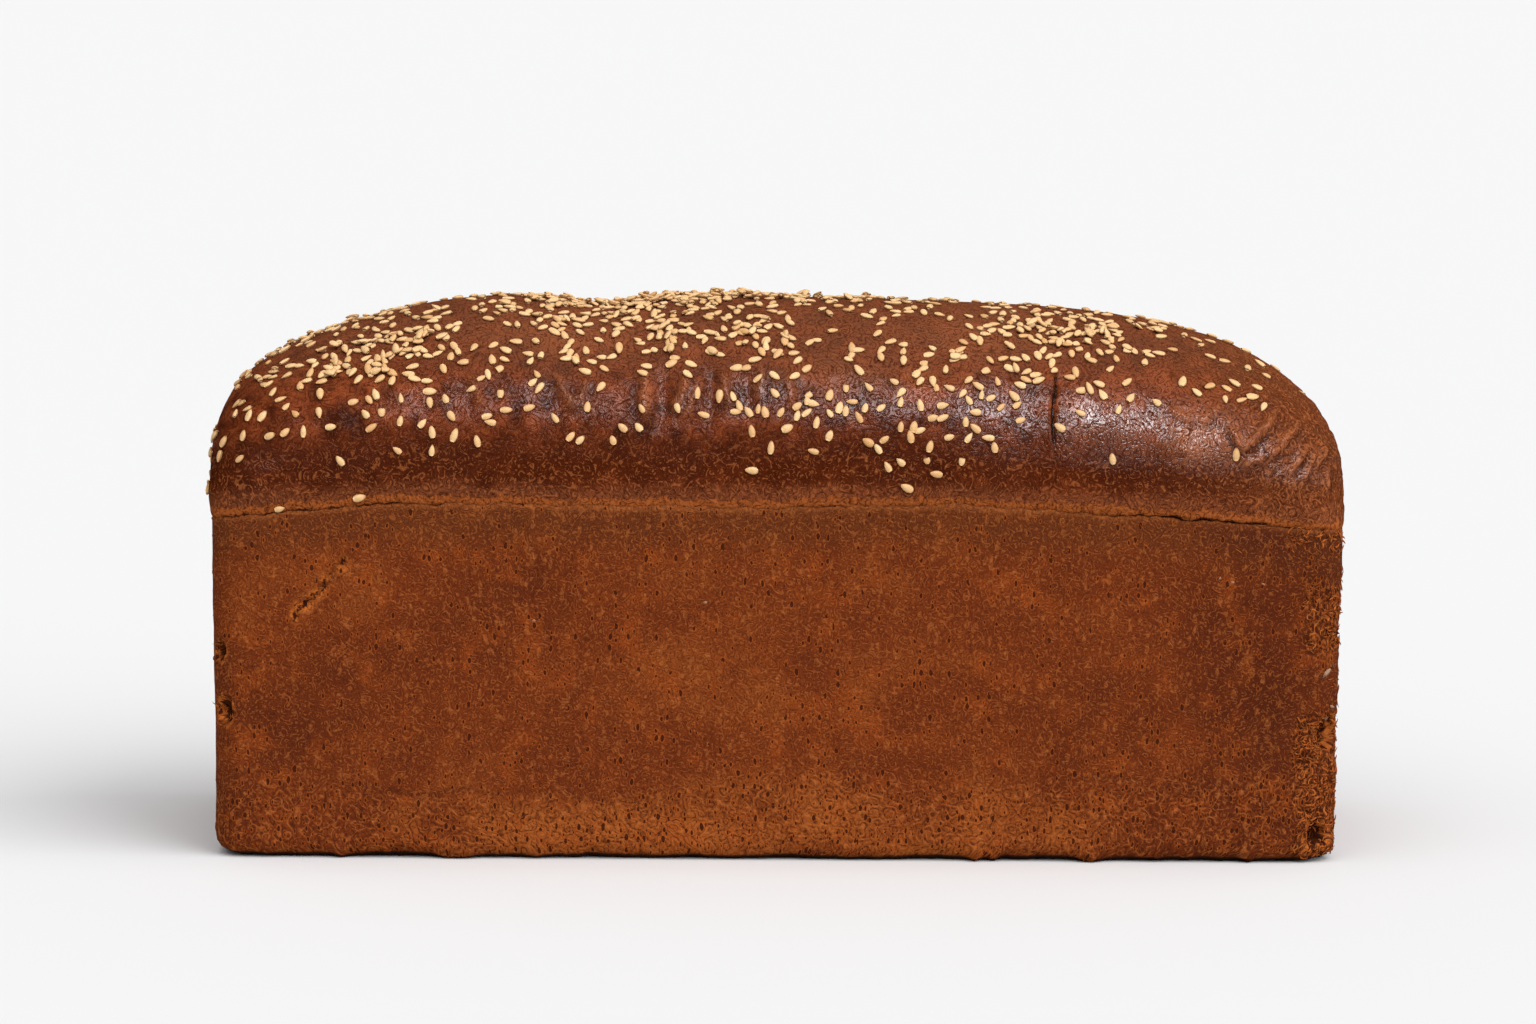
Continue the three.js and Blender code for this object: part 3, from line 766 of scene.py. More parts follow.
# %% Where the seeds lie
SEED_AREA = 6.3 * MM**2
THINNEST = 0.035
OVERDRAWN = 1.9
TOUCHING = 2.0 * MM
PILES_FROM, PILES_SURE = 0.05, 0.30  # shares covered where the first seeds lie on others, and where all may
MOST_NEAR = 2
TOP_LAYER = 2
SEEN_FROM = -0.02  # a point whose normal leans further away from the camera counts as hidden, in metres
SEED_PATCHES = [
    # middle x, way over the loaf from the crest (front is minus), reach along, reach over in mm, share covered
    (-130, -42, 13, 9, 0.26), (-112, -35, 15, 12, 0.50), (-100, -18, 14, 9, 0.10), (-70, -46, 18, 8, 0.16),
    (-34, -6, 36, 12, 0.56), (-20, -31, 26, 10, 0.36), (-66, -24, 15, 8, 0.22), (-6, -43, 34, 6, 0.14),
    (80, -27, 18, 12, 0.52), (52, -47, 20, 9, 0.22), (30, -56, 26, 8, 0.06), (34, -6, 28, 10, 0.10),
    (104, -22, 12, 10, 0.14), (118, -6, 12, 10, 0.12), (-148, -22, 10, 26, 0.14), (-128, 4, 14, 20, 0.20),
    (-70, 30, 30, 14, 0.20), (10, 40, 110, 18, 0.10), (60, 30, 26, 12, 0.22), (-10, 16, 60, 12, 0.14),
    (20, 58, 40, 10, 0.07), (-22, 2, 88, 6, 0.14), (-38, -3, 24, 5, 0.30),
]
LOW_SEEDS_IN_PHOTO = [
    # pixel across, pixel down, turn in degrees
    (224, 441, 50), (245, 436, 75), (270, 435, 15), (286, 432, 45), (303, 432, 90), (332, 428, 5),
    (366, 415, 130), (381, 411, 95), (372, 429, 35), (401, 421, 80), (423, 424, 50), (433, 433, 100),
    (432, 449, 85), (453, 434, 70), (478, 440, 105), (396, 449, 145), (339, 461, 130), (241, 460, 20),
    (361, 497, 15), (280, 510, 15), (488, 417, 15), (491, 424, 170), (555, 418, 125), (571, 438, 50),
    (582, 439, 45), (622, 429, 140), (639, 428, 130), (612, 439, 110), (702, 414, 165), (751, 432, 100),
    (787, 428, 25), (831, 434, 70), (771, 449, 85), (813, 451, 165), (752, 471, 175), (867, 443, 150),
    (879, 448, 125), (886, 441, 35), (900, 426, 85), (914, 428, 80), (921, 431, 20), (910, 437, 100),
    (931, 448, 75), (927, 459, 105), (888, 466, 120), (900, 463, 140), (937, 475, 170), (907, 489, 155),
    (948, 437, 15), (962, 461, 80), (994, 446, 100), (987, 437, 175), (974, 428, 140), (967, 422, 90),
    (969, 437, 55), (1020, 420, 20), (1000, 408, 45), (1060, 427, 145), (1120, 409, 70), (1114, 460, 100),
    (1235, 455, 90), (1196, 393, 135), (1234, 384, 145), (1241, 400, 25), (1252, 398, 15), (1256, 389, 160),
    (1266, 377, 165), (1301, 393, 130), (1274, 369, 150), (1260, 364, 135), (1246, 352, 20),
    (1132, 397, 55), (1103, 394, 120), (1089, 389, 110), (353, 403, 15), (376, 394, 110), (400, 397, 100),
    (447, 399, 110), (429, 392, 0), (500, 392, 90), (506, 411, 0), (528, 408, 20), (296, 415, 135),
    (286, 407, 50), (264, 416, 55), (249, 415, 70), (236, 414, 80), (642, 408, 120), (698, 394, 85),
    (736, 413, 0), (750, 412, 125), (759, 409, 85), (766, 412, 105), (781, 413, 60), (734, 398, 110),
    (775, 394, 130), (798, 416, 75), (807, 413, 40), (818, 422, 80), (830, 414, 125), (847, 410, 85),
    (860, 416, 120), (808, 401, 85), (864, 408, 75), (881, 408, 35), (942, 405, 10), (933, 418, 15),
    (944, 417, 25), (1017, 405, 40), (1014, 395, 135), (1021, 385, 160), (999, 381, 105), (1036, 376, 10),
    (1070, 379, 175), (990, 399, 25), (980, 396, 80), (969, 402, 120), (1100, 385, 160), (1127, 382, 45),
    (1209, 357, 175), (1225, 362, 0), (1210, 342, 170), (1196, 340, 175), (1145, 362, 80), (1116, 359, 105),
    (1092, 360, 160), (1159, 354, 170), (1172, 350, 175),
]
LEFT_END_SEEDS = {"low": 3 * MM, "high": 22 * MM, "share": 0.18}


def way_over(piece_points):
    """How far each point of the dome's grid is from the crest, over the loaf; the skirt's count as the edge."""
    middle = (len(rows) - 1) / 2
    on_grid = np.tile((np.arange(len(rows)) - middle) * CROWN_STEP, len(columns))
    skirt = np.sign(piece_points[len(on_grid):, 1]) * middle * CROWN_STEP
    return np.concatenate([on_grid, skirt])


def seed_share(points, over):
    """The share of the crust that seeds cover: the patches' bells over a thin sprinkling, less near the ends."""
    x, up = points[:, 0] / MM, points[:, 2] - CREASE_HEIGHT
    share = np.full(len(points), THINNEST)
    for middle_x, middle_over, reach_x, reach_over, covered in SEED_PATCHES:
        share += covered * bell((x - middle_x) / reach_x) * bell((over / MM - middle_over) / reach_over)
    share *= (1 - 0.9 * smooth(x, 122, 142)) * smooth(up, 22 * MM, 32 * MM)
    cap = smooth(-x, 160, 166) * smooth(up, 0, LEFT_END_SEEDS["low"])
    cap = cap * smooth(-up, -LEFT_END_SEEDS["high"], -16 * MM) * (np.abs(points[:, 1]) < 46 * MM)
    return share + LEFT_END_SEEDS["share"] * cap


def strewn_seeds(piece, random):
    """Point numbers, layers and turns of the seeds: those seen one by one, then those drawn by their share."""
    places, normals = points_of(piece), normals_of(piece)
    share = seed_share(places, way_over(places))
    expected = share * area_of_points(piece) / SEED_AREA
    chances = expected / expected.sum()
    drawn = random.choice(len(places), int(expected.sum() * OVERDRAWN), replace=False, p=chances)
    pixels = seen_at(places)
    hidden = np.sum((places - np.array(camera.location)) * normals, axis=1) > SEEN_FROM
    chosen, layers, turns = [], [], []
    for across, down, turn in LOW_SEEDS_IN_PHOTO:
        away = np.hypot(pixels[:, 0] - across, pixels[:, 1] - down)
        chosen.append(int(np.where(hidden, np.inf, away).argmin()))
        layers.append(0)
        turns.append(math.radians(turn))
    for number in drawn:
        near = np.linalg.norm(places[chosen] - places[number], axis=1) < TOUCHING
        piled = random.random() < (share[number] - PILES_FROM) / (PILES_SURE - PILES_FROM)
        if near.any() and (not piled or near.sum() > MOST_NEAR):
            continue
        chosen.append(int(number))
        layers.append(min(max(np.array(layers)[near]) + 1, TOP_LAYER) if near.any() else 0)
        turns.append(random.uniform(0, 2 * math.pi))
    return np.array(chosen), np.array(layers), np.array(turns)


random = np.random.default_rng(11)
crown_places = points_of(crown)
crown_normals = normals_of(crown)
seed_points, seed_layers, seed_turns = strewn_seeds(crown, random)
print("seeds:", len(seed_points), "in layers", np.bincount(seed_layers))


# %% Seeds of three kinds, each one joined mesh
SEED_KINDS = {
    # share of all seeds, power of the pointed end, how much of that end is broken off, size
    "plump-seeds": (0.72, 0.75, 0.0, 1.0),
    "slim-seeds": (0.22, 1.0, 0.0, 0.95),
    "broken-seeds": (0.06, 0.75, 0.35, 1.0),
}
SEED_LEAN = (0.06, 0.13)  # on the crust, and more for each layer it lies on
SEED_LIFT = (0.34, 0.55)  # the same for how far its middle is up, in thicknesses


def seed_frames(normals, turns, lean, random):
    """For each seed its own long, cross and up directions: up leans off the crust.

    A turn of 0 lies along the loaf and a quarter turn points up the front slope."""
    up = normals + random.normal(0, 1, (len(normals), 3)) * lean[:, None]
    up /= np.linalg.norm(up, axis=1, keepdims=True)
    right = np.cross(np.cross(up, [1.0, 0.0, 0.0]), up)
    right /= np.linalg.norm(right, axis=1, keepdims=True)
    along = right * np.cos(turns)[:, None] + np.cross(up, right) * np.sin(turns)[:, None]
    return along, np.cross(up, along), up


def seeds_piece(name, numbers, template, sizes, toast, random):
    """Copies the template to each seed's place, turned, scaled and leaning its own way."""
    points, edge = template
    layers, spots = seed_layers[numbers], seed_points[numbers]
    lean = SEED_LEAN[0] + SEED_LEAN[1] * layers
    along, across, up = seed_frames(crown_normals[spots], seed_turns[numbers], lean, random)
    count = len(numbers)
    usual = np.array([SEED_LENGTH, SEED_WIDTH, SEED_THICKNESS])
    scale = sizes[:, None] * usual * random.normal(1, 0.06, (count, 3))
    middles = crown_places[spots] + up * (scale[:, 2] * (SEED_LIFT[0] + SEED_LIFT[1] * layers))[:, None]
    axes = np.stack([along * scale[:, :1], across * scale[:, 1:2], up * scale[:, 2:]], axis=1)
    placed = np.einsum("tk,nkc->ntc", points, axes) + middles[:, None, :]
    piece = joined_copies(name, placed, stick_faces(len(SEED_STATIONS), SEED_SIDES))
    store(piece, "toast", np.repeat(toast, len(points)))
    store(piece, "along", np.tile(points[:, 0] + 0.5, count))
    store(piece, "edge", np.tile(edge, count))
    print(name, "has", count, "seeds and", triangle_count(piece), "triangles")
    return piece


heights = crown_places[seed_points][:, 2] - CREASE_HEIGHT
own_toast = random.normal(0.3, 0.22, len(seed_points))
seed_toast = np.clip(own_toast - 0.12 * smooth(heights, 26 * MM, 54 * MM), 0, 1)
kinds = random.choice(3, len(seed_points), p=[share for share, *_ in SEED_KINDS.values()])
seed_sizes = np.clip(random.normal(1, 0.07, len(seed_points)), 0.8, 1.15)
seed_pieces = []
for kind, (name, (_, power, broken_off, size)) in enumerate(SEED_KINDS.items()):
    own = np.flatnonzero(kinds == kind)
    template = seed_template(power, broken_off)
    seed_pieces.append(seeds_piece(name, own, template, seed_sizes[own] * size, seed_toast[own], random))

# %% [markdown]
# ## Strands of torn crust
#
# Where the crust tore, short strands of crumb stand up at the edge, and all over the wall thinner ones lie
# flat, baked on. Each is a bent, tapered stick with four sides. They are strewn as the seeds are, by how many
# a square millimetre carries: few on smooth crust, more in the coarse band, most on bare crumb.

# %% Strands on the wall
STRAND_SIDES = 4
STRAND_STATIONS = np.linspace(0.04, 0.96, 4)
STRANDS_ON_CRUST = 0.008
STRANDS_ON_COARSE = 0.026
STRANDS_ON_BARE = 0.32
FLAKE_FLATNESS = 0.45
FLAKES = [
    # x, z, length, width in mm, turn in degrees, lightness: 1 is crumb, 2 is grey paper-thin crust
    (161.2, 57.4, 3.4, 1.7, 40, 1.9), (163.6, 43.2, 3.6, 1.6, 75, 2.0), (163.4, 46.5, 2.4, 1.0, -20, 1.8),
    (132.6, 83.4, 1.3, 1.0, 20, 1.5), (129.0, 84.6, 1.0, 0.6, 60, 1.5), (-20.9, 76.5, 1.5, 1.0, 10, 1.5),
    (-70.9, 70.8, 1.2, 1.1, 0, 1.4), (141.5, 83.0, 1.2, 0.6, -30, 1.5),
]


def fraying(points):
    """1 where the crease frays at the right end of the front, less at its left end and up the right corner."""
    x, y, z = points.T
    down = crease_at(x) - z
    right = smooth(x, 146 * MM, 152 * MM) * smooth(-down, -10 * MM, -4 * MM)
    left = 0.5 * smooth(-x, 158 * MM, 164 * MM) * smooth(-down, -9 * MM, -3 * MM)
    edge = 0.4 * smooth(x, 160 * MM, 164 * MM)
    return np.maximum(np.maximum(right, left), edge) * smooth(-y, 40 * MM, 44 * MM)


def with_flakes(drawn, own):
    """Values drawn for the strands, followed by the single flakes' own."""
    return np.concatenate([drawn, np.broadcast_to(own, len(FLAKES))])


def wall_strands(random):
    """Sticks along P + T L (s - 1/2) + N lift L s^2 + C curl L sin(pi s), thinner towards both ends."""
    x, y, z = wall_form.T
    torn = np.maximum(bare_crumb(wall_form), fraying(wall_form))
    share = STRANDS_ON_CRUST + STRANDS_ON_COARSE * coarse_band(wall_form) + STRANDS_ON_BARE * torn
    share = share * (z > 2 * MM) * (crease_at(x) - z > 0.3 * MM)
    expected = share * area_of_points(wall) / MM**2
    count = int(expected.sum())
    chosen = random.choice(len(wall_form), count, replace=False, p=expected / expected.sum())
    flake_x, flake_z, flake_length, flake_width, flake_turn, flake_light = np.array(FLAKES).T
    off_front = y > -40 * MM
    spots = [np.argmin(np.hypot(x - a * MM, z - b * MM) + off_front) for a, b in zip(flake_x, flake_z)]
    torn = torn[chosen]
    chosen = np.concatenate([chosen, spots])
    turn = with_flakes(random.uniform(0, 2 * np.pi, count), np.radians(flake_turn))[:, None]
    length = with_flakes(random.uniform(1.3, 3.0, count), flake_length)[:, None, None] * MM
    thick = random.uniform(0.16, 0.3, count) + torn * random.uniform(0.15, 0.5, count)
    thick = with_flakes(thick, flake_width)[:, None, None] * MM
    flat = with_flakes(np.ones(count), FLAKE_FLATNESS)[:, None, None]
    lift = with_flakes(0.02 + torn * random.uniform(0, 0.45, count), 0.02)[:, None, None]
    curl = with_flakes(random.normal(0, 0.3, count), 0)[:, None, None]
    light = with_flakes(np.clip(random.normal(0.3, 0.25, count) + 0.4 * torn, 0, 1), flake_light)
    normal = normals_of(wall)[chosen]
    level = np.cross([0.0, 0.0, 1.0], normal)
    level /= np.linalg.norm(level, axis=1, keepdims=True)
    ahead = (level * np.cos(turn) + np.cross(normal, level) * np.sin(turn))[:, None]
    normal = normal[:, None]
    across = np.cross(normal, ahead)
    s = STRAND_STATIONS[None, :, None]
    middle = points_of(wall)[chosen][:, None] + ahead * length * (s - 0.5)
    middle = middle + normal * lift * length * s**2 + across * curl * length * np.sin(np.pi * s)
    radius = thick * (0.3 + 0.7 * np.sin(np.pi * s)) / 2
    around = (np.arange(STRAND_SIDES) / STRAND_SIDES * 2 * np.pi)[None, :, None]
    ring = across * np.cos(around) + flat * normal * np.sin(around)
    sides = (middle[:, :, None] + radius[..., None] * ring[:, None]).reshape(len(chosen), -1, 3)
    tips = [middle[:, :1] - ahead * thick, middle[:, -1:] + ahead * thick]
    points = np.concatenate([sides, *tips], axis=1)
    points[..., 2] = np.maximum(points[..., 2], 0)
    piece = joined_copies("crust-strands", points, stick_faces(len(STRAND_STATIONS), STRAND_SIDES))
    store(piece, "light", np.repeat(light, points.shape[1]))
    return piece


strands = wall_strands(random)
print("strands:", triangle_count(strands), "triangles")

# %% [markdown]
# ## What each point knows about its crust
#
# A material can't tell a torn corner from a smooth wall, so each point of the crown and the wall carries a
# few numbers from 0 to 1: how glazed it is, how near the crease, how porous, how bare. Most follow from the
# same shapes that moved the points, so colour and relief agree.

# %% Numbers kept on the crown
DUSKY_PATCHES = [
    # middle x, height above the crease, reach along, reach up in mm, strength
    (-152, 6, 6, 6, 0.7), (-124, 12, 12, 5, 0.6), (-140, 12, 10, 7, 0.4), (-94, 12, 12, 5, 0.35),
    (-28, 12, 8, 5, 0.4), (38, 10, 14, 5, 0.4), (66, 12, 8, 6, 0.5), (110, 9, 14, 4, 0.3),
]
GLAZED_PATCHES = [
    # the same, strength of the shine
    (66, 25, 15, 10, 0.7), (98, 24, 19, 11, 1.0), (125, 21, 15, 9, 0.8), (30, 28, 24, 8, 0.2),
    (-31, 31, 16, 9, 0.2), (-62, 31, 18, 9, 0.16), (-96, 30, 16, 7, 0.14), (-6, 33, 12, 7, 0.24),
    (-152, 11, 7, 6, 0.5), (148, 14, 10, 7, 0.7), (140, 21, 6, 4, 0.6),
]
PALE_PATCHES = [
    # the same, strength of a lighter, warmer brown
    (124, 22, 13, 9, 1.0), (96, 27, 16, 8, 0.3), (148, 18, 12, 10, 0.25), (24, 38, 26, 6, 0.3),
    (-60, 48, 20, 8, 0.25), (60, 46, 20, 8, 0.25),
]
LIP_HEIGHT = 1.9
LIP_WAVES = [(0.9, 7, 61), (0.7, 1.8, 62)]
BAND_EDGE_WAVES = [(1.5, 12, 66), (0.8, 3, 67)]
PATCHY_SHINE = [(0.35, 6, 63), (0.3, 2.2, 64)]
FULL_RIDGE = 1.3 * MM
BESIDE = 1.9  # how far beside a ridge its shade lies, in half widths


def crown_patches(patches):
    """The strongest of some patches at each point of the crown."""
    return patches_at(crown_form[:, 0], above_crease, patches)


above_crease = crown_form[:, 2] - crease_at(crown_form[:, 0])
lip_edge = above_crease - (LIP_HEIGHT + ripples(crown_form, LIP_WAVES)) * MM
band_height = above_crease + ripples(crown_form, BAND_EDGE_WAVES) * MM
right_end = smooth(crown_form[:, 0], 112 * MM, 155 * MM)
low_down = smooth(-above_crease, -24 * MM, -10 * MM)
shine = crown_patches(GLAZED_PATCHES) * (1 + ripples(crown_form, PATCHY_SHINE))
glaze = np.clip(0.05 + shine, 0, 1) * smooth(above_crease, 11 * MM, 16 * MM)
blotches = 0.26 * noise(crown_form, 14 * MM, 65) + 0.36 * layered_noise(crown_form, 4.2 * MM, 68)
right_of_fold, fold_window = beside_fold(crown_form)
crown_numbers = {
    "lip": smooth(-lip_edge, -1.2 * MM, 0.8 * MM),
    "haze": smooth(-band_height, -8 * MM, -3 * MM),
    "deep": bell((band_height - 13 * MM) / (8 * MM)),
    "glaze": glaze,
    "dusk": crown_patches(DUSKY_PATCHES),
    "grainy": np.clip(0.3 + 0.6 * low_down + 0.9 * right_end, 0, 1.2),
    "wrinkled": crown_patches(WRINKLED_PATCHES),
    "streaked": crown_patches(STREAKED_PATCHES) * (crown_form[:, 1] < 0),
    "crest": smooth(above_crease, 30 * MM, 50 * MM),
    # Painted highlight, over paler crust, on each ridge's top, and painted shadow just beside it.
    "ridge_pale_and_lit": np.clip(ridge_relief(crown_form) / FULL_RIDGE, 0, 1),
    "ridge_shadow": np.clip(ridge_relief(crown_form, BESIDE) / FULL_RIDGE, 0, 1),
    "right_end": right_end,
    "mottle": 0.5 + blotches,
    "pale": crown_patches(PALE_PATCHES) * (1 + 0.4 * noise(crown_form, 4 * MM, 69)),
    # Painted shade: along the fold's narrow cleft, and along the crease's crack.
    "fold": fold_window * bell((right_of_fold - 0.1 * MM) / (0.5 * MM)),
    "crack_shade": crease_gap(crown_form) * bell(above_crease / (0.4 * MM)),
}
for name, values in crown_numbers.items():
    store(crown, name, values)
print("glazed share of the crown's points:", round(float((glaze > 0.3).mean()), 2))

# %% Numbers kept on the wall
BACK_LEFT_CORNER = 0.88
TABLE_HEIGHT = 0.05 * MM  # below this a point belongs to the underside
TONE_PATCHES = [
    # middle x, height, reach along, reach up in mm, strength of a lighter crust
    (-40, 7, 46, 7, 0.8), (-146, 78, 14, 12, 0.55), (-18, 52, 30, 22, 0.35), (70, 10, 60, 8, 0.3),
    (-156, 8, 8, 7, 0.3), (20, 16, 30, 9, 0.3), (-88, 12, 9, 5, 0.25),
]
DARK_PATCHES = [
    # the same, strength of a darker crust
    (-128, 48, 28, 20, 0.9), (-94, 8, 5, 4, 1.0), (-58, 38, 9, 12, 0.7), (-70, 30, 10, 8, 0.4),
    (136, 56, 24, 34, 1.0), (100, 40, 26, 22, 0.6), (-158, 20, 8, 14, 0.5), (62, 72, 30, 18, 0.45),
    (-82, 70, 22, 16, 0.3), (10, 24, 26, 6, 0.35), (150, 96, 12, 6, 0.5), (-75, 10, 5, 4, 0.4),
]


def wall_sheet(points):
    """The wall unrolled as a label from a tin: how far round, then how high. The underside keeps x and y."""
    around = 2 * (RIM_LENGTH + RIM_WIDTH) - (8 - 2 * math.pi) * CORNER_RADIUS
    turned = np.where(wall_columns > BACK_LEFT_CORNER, wall_columns - 1, wall_columns) * around
    way_round = np.concatenate([np.tile(turned, len(points) // len(wall_columns)), [0, 0]])
    sheet = np.column_stack([way_round, points[:, 2], 0 * way_round])
    return np.where(points[:, 2:] < TABLE_HEIGHT, points, sheet)


x, y, z = wall_form.T
front = smooth(-y, 30 * MM, 45 * MM)
below_crease = crease_at(x) - z
drift = 0.3 * noise(wall_form, 38 * MM, 71) + 0.36 * layered_noise(wall_form, 12 * MM, 72, 4)
wall_tone = drift + front * (0.7 * patches_at(x, z, TONE_PATCHES) - 0.5 * patches_at(x, z, DARK_PATCHES))
rims = np.maximum(any_hole(wall_form, (1.5, 1.3, 1.35)), tear_shape(wall_form, 3.0))
torn_open = tear_shape(wall_form) * smooth(noise(wall_form, 2.6 * MM, 23), -0.5, 0.0)
frayed = bell((x - 152 * MM) / (7 * MM)) * bell((z - 94 * MM) / (4 * MM)) * front
lip_low = -2.2 * MM + 0.8 * MM * noise(wall_form, 4 * MM, 74)
# Painted contact shade: the wall's lowest 1 to about 2.3 mm, under its rounded bottom edge, is darkened where the
# floor shades it.
contact_shade_top = -2.3 * MM + 0.5 * MM * noise(wall_form, 5 * MM, 76)
wall_numbers = {
    "tone": wall_tone,
    "sheet": wall_sheet(wall_form),
    "coarse": coarse_band(wall_form),
    "band_line": band_line(wall_form),
    "bare": bare_crumb(wall_form),
    "torn_edge": rims * smooth(noise(wall_form, 2.2 * MM, 77), -0.7, 0.1),
    # Painted shade in the open holes and the tear.
    "hole_shade": np.maximum(any_hole(wall_form), 0.85 * torn_open),
    "under_crease": smooth(-below_crease, -17 * MM, -5 * MM),
    "lip": smooth(-below_crease, lip_low, -0.6 * MM),
    "right_shade": smooth(x, 100 * MM, 160 * MM) * front,
    "crease_shade": bell((x - 143 * MM) / (18 * MM)) * bell((below_crease - 5 * MM) / (4.5 * MM)) * front,
    "rust": 0.5 + 0.45 * layered_noise(wall_form, 6 * MM, 75, 3) + 0.5 * frayed,
    "contact_shade": smooth(-z, contact_shade_top, -1.0 * MM),
    "middle": smooth(-np.abs(x + 5 * MM), -120 * MM, -60 * MM),
    # Painted shade along the crease's crack.
    "crack_shade": crease_gap(wall_form) * bell(below_crease / (0.5 * MM)),
}
for name, values in wall_numbers.items():
    store(wall, name, values)
print("wall tone from", round(float(wall_tone.min()), 2), "to", round(float(wall_tone.max()), 2))

# %% [markdown]
# ## Building materials from nodes
#
# A material is a small graph. A Value stands for one of its sockets, and sums and products of Values add the
# Math nodes that work them out, so that a material reads like a sum. Colours are named by their picture
# values and turned into linear light.


# %% Node helpers
def linear(red, green, blue):
    """A colour given from 0 to 255 as it looks on screen, in linear light: ((c + 0.055) / 1.055) ^ 2.4."""
    shares = np.array([red, green, blue]) / 255
    light = np.where(shares < 0.04045, shares / 12.92, ((shares + 0.055) / 1.055) ** 2.4)
    return (*light.tolist(), 1.0)


def fill(made, inputs):
    """Gives each named input of a node a number or a colour, or links it to a Value."""
    for name, value in inputs.items():
        if isinstance(value, Value):
            value.tree.links.new(value.socket, made.inputs[name])
        else:
            made.inputs[name].default_value = value


def node(tree, kind, inputs=None, **settings):
    """Adds a shader node with its settings and fills its inputs."""
    made = tree.nodes.new(kind)
    for name, setting in settings.items():
        setattr(made, name, setting)
    fill(made, inputs or {})
    return made


def worked(tree, kind, inputs=None, output=0, **settings):
    """One output of a new node, as a Value."""
    return Value(tree, node(tree, kind, inputs, **settings).outputs[output])


def math_step(operation, turned=False):
    """The method by which a Value meets another one, or a number, in a Math node."""

    def met(value, other=0.0):
        first, second = (other, value) if turned else (value, other)
        return worked(value.tree, "ShaderNodeMath", {0: first, 1: second}, operation=operation)

    return met


class Value:
    """A number, place or colour that changes over the surface: one socket in a tree."""

    def __init__(self, tree, socket):
        self.tree = tree
        self.socket = socket

    __add__ = __radd__ = math_step("ADD")
    __sub__ = math_step("SUBTRACT")
    __rsub__ = math_step("SUBTRACT", turned=True)
    __mul__ = __rmul__ = math_step("MULTIPLY")
    __rtruediv__ = math_step("DIVIDE", turned=True)
    __pow__ = math_step("POWER")
    __lt__ = math_step("LESS_THAN")
    __gt__ = math_step("GREATER_THAN")
    __abs__ = math_step("ABSOLUTE")
    sine = math_step("SINE")
    or_more = math_step("MAXIMUM")


def spread(value, low, high, to_low=0.0, to_high=1.0):
    """A smooth step from to_low to to_high as the value goes from low to high."""
    inputs = {"Value": value, "From Min": low, "From Max": high, "To Min": to_low, "To Max": to_high}
    return worked(value.tree, "ShaderNodeMapRange", inputs, "Result", interpolation_type="SMOOTHSTEP")


def kept(tree, name):
    """The number that each point keeps under this name."""
    return worked(tree, "ShaderNodeAttribute", output="Fac", attribute_name=name)


def blended(share, first, second):
    """Two colours mixed by a share."""
    return worked(share.tree, "ShaderNodeMix", {0: share, 6: first, 7: second}, 2, data_type="RGBA")


def painted(tree, colour, layers):
    """Colours laid over a colour. Each layer is a share or a kept number's name, a strength and a colour."""
    for share, strength, over in layers:
        share = kept(tree, share) if isinstance(share, str) else share
        colour = blended(share * strength, colour, over)
    return colour


def noise_at(place, cell, detail=2.0, rough=0.5, warp=0.0):
    """Blender's noise with blotches about as wide as the cell."""
    inputs = {"Vector": place, "Scale": 1 / cell, "Detail": detail, "Roughness": rough, "Distortion": warp}
    return worked(place.tree, "ShaderNodeTexNoise", inputs)


# %% [markdown]
# ## The grain of the crust, as a group
#
# Close up, the crust is a mat of fine curly flecks: gluten strands that browned at different speeds. They
# look like contour lines on a map, so that is how they are made: the sine of a slow noise has a crest wherever
# the noise passes a round number. A second noise cuts the lines into short strokes. Another group makes the
# pores: cells of a Voronoi pattern, each with its own radius and a ragged edge.

# %% Curly grain group
GRAIN_TURN = (0.6, 0.5, 0.9)


def shader_group(name, inputs, outputs, rule):
    """A group with a place and named numbers as inputs; the rule turns them, as Values, into its outputs."""
    group = bpy.data.node_groups.new(name, "ShaderNodeTree")
    group.interface.new_socket("Place", in_out="INPUT", socket_type="NodeSocketVector")
    for label, usual in inputs.items():
        socket = group.interface.new_socket(label, in_out="INPUT", socket_type="NodeSocketFloat")
        socket.default_value = usual
    for label in outputs:
        group.interface.new_socket(label, in_out="OUTPUT", socket_type="NodeSocketFloat")
    start = group.nodes.new("NodeGroupInput")
    given = {label: Value(group, start.outputs[label]) for label in ("Place", *inputs)}
    fill(group.nodes.new("NodeGroupOutput"), dict(zip(outputs, rule(group, given))))
    return group


def curly_grain(group, given):
    """Fleck: sin(26 noise) near its crests, where a finer noise is high. Furrow: the same near its troughs.

    The place is turned first, because a flat wall in line with the noise's lattice shows its rows."""
    turned = worked(group, "ShaderNodeMapping", {"Vector": given["Place"], "Rotation": GRAIN_TURN})
    slow, quick = [
        worked(group, "ShaderNodeTexNoise", {"Vector": turned, "Scale": 1.0 / given["Cell"] * fine, "Detail": 0.0})
        for fine in (0.45, 0.8)
    ]
    wave = (slow * 26.0).sine()
    low = 0.62 - given["Cover"] * 0.3
    fleck = spread(wave, 0.3, 1.0) * spread(quick, low, low + 0.14)
    return fleck, spread(wave, -0.25, -1.0), quick - 0.5


GRAIN_INPUTS = {"Cell": 1 * MM, "Cover": 0.5}
CURLY_GRAIN = shader_group("curly grain", GRAIN_INPUTS, ["Fleck", "Furrow", "Wobble"], curly_grain)

# %% Pores group
PORE_SQUEEZE = (1.4, 0.72, 1.0)
FLAKE_SHARE = 0.12


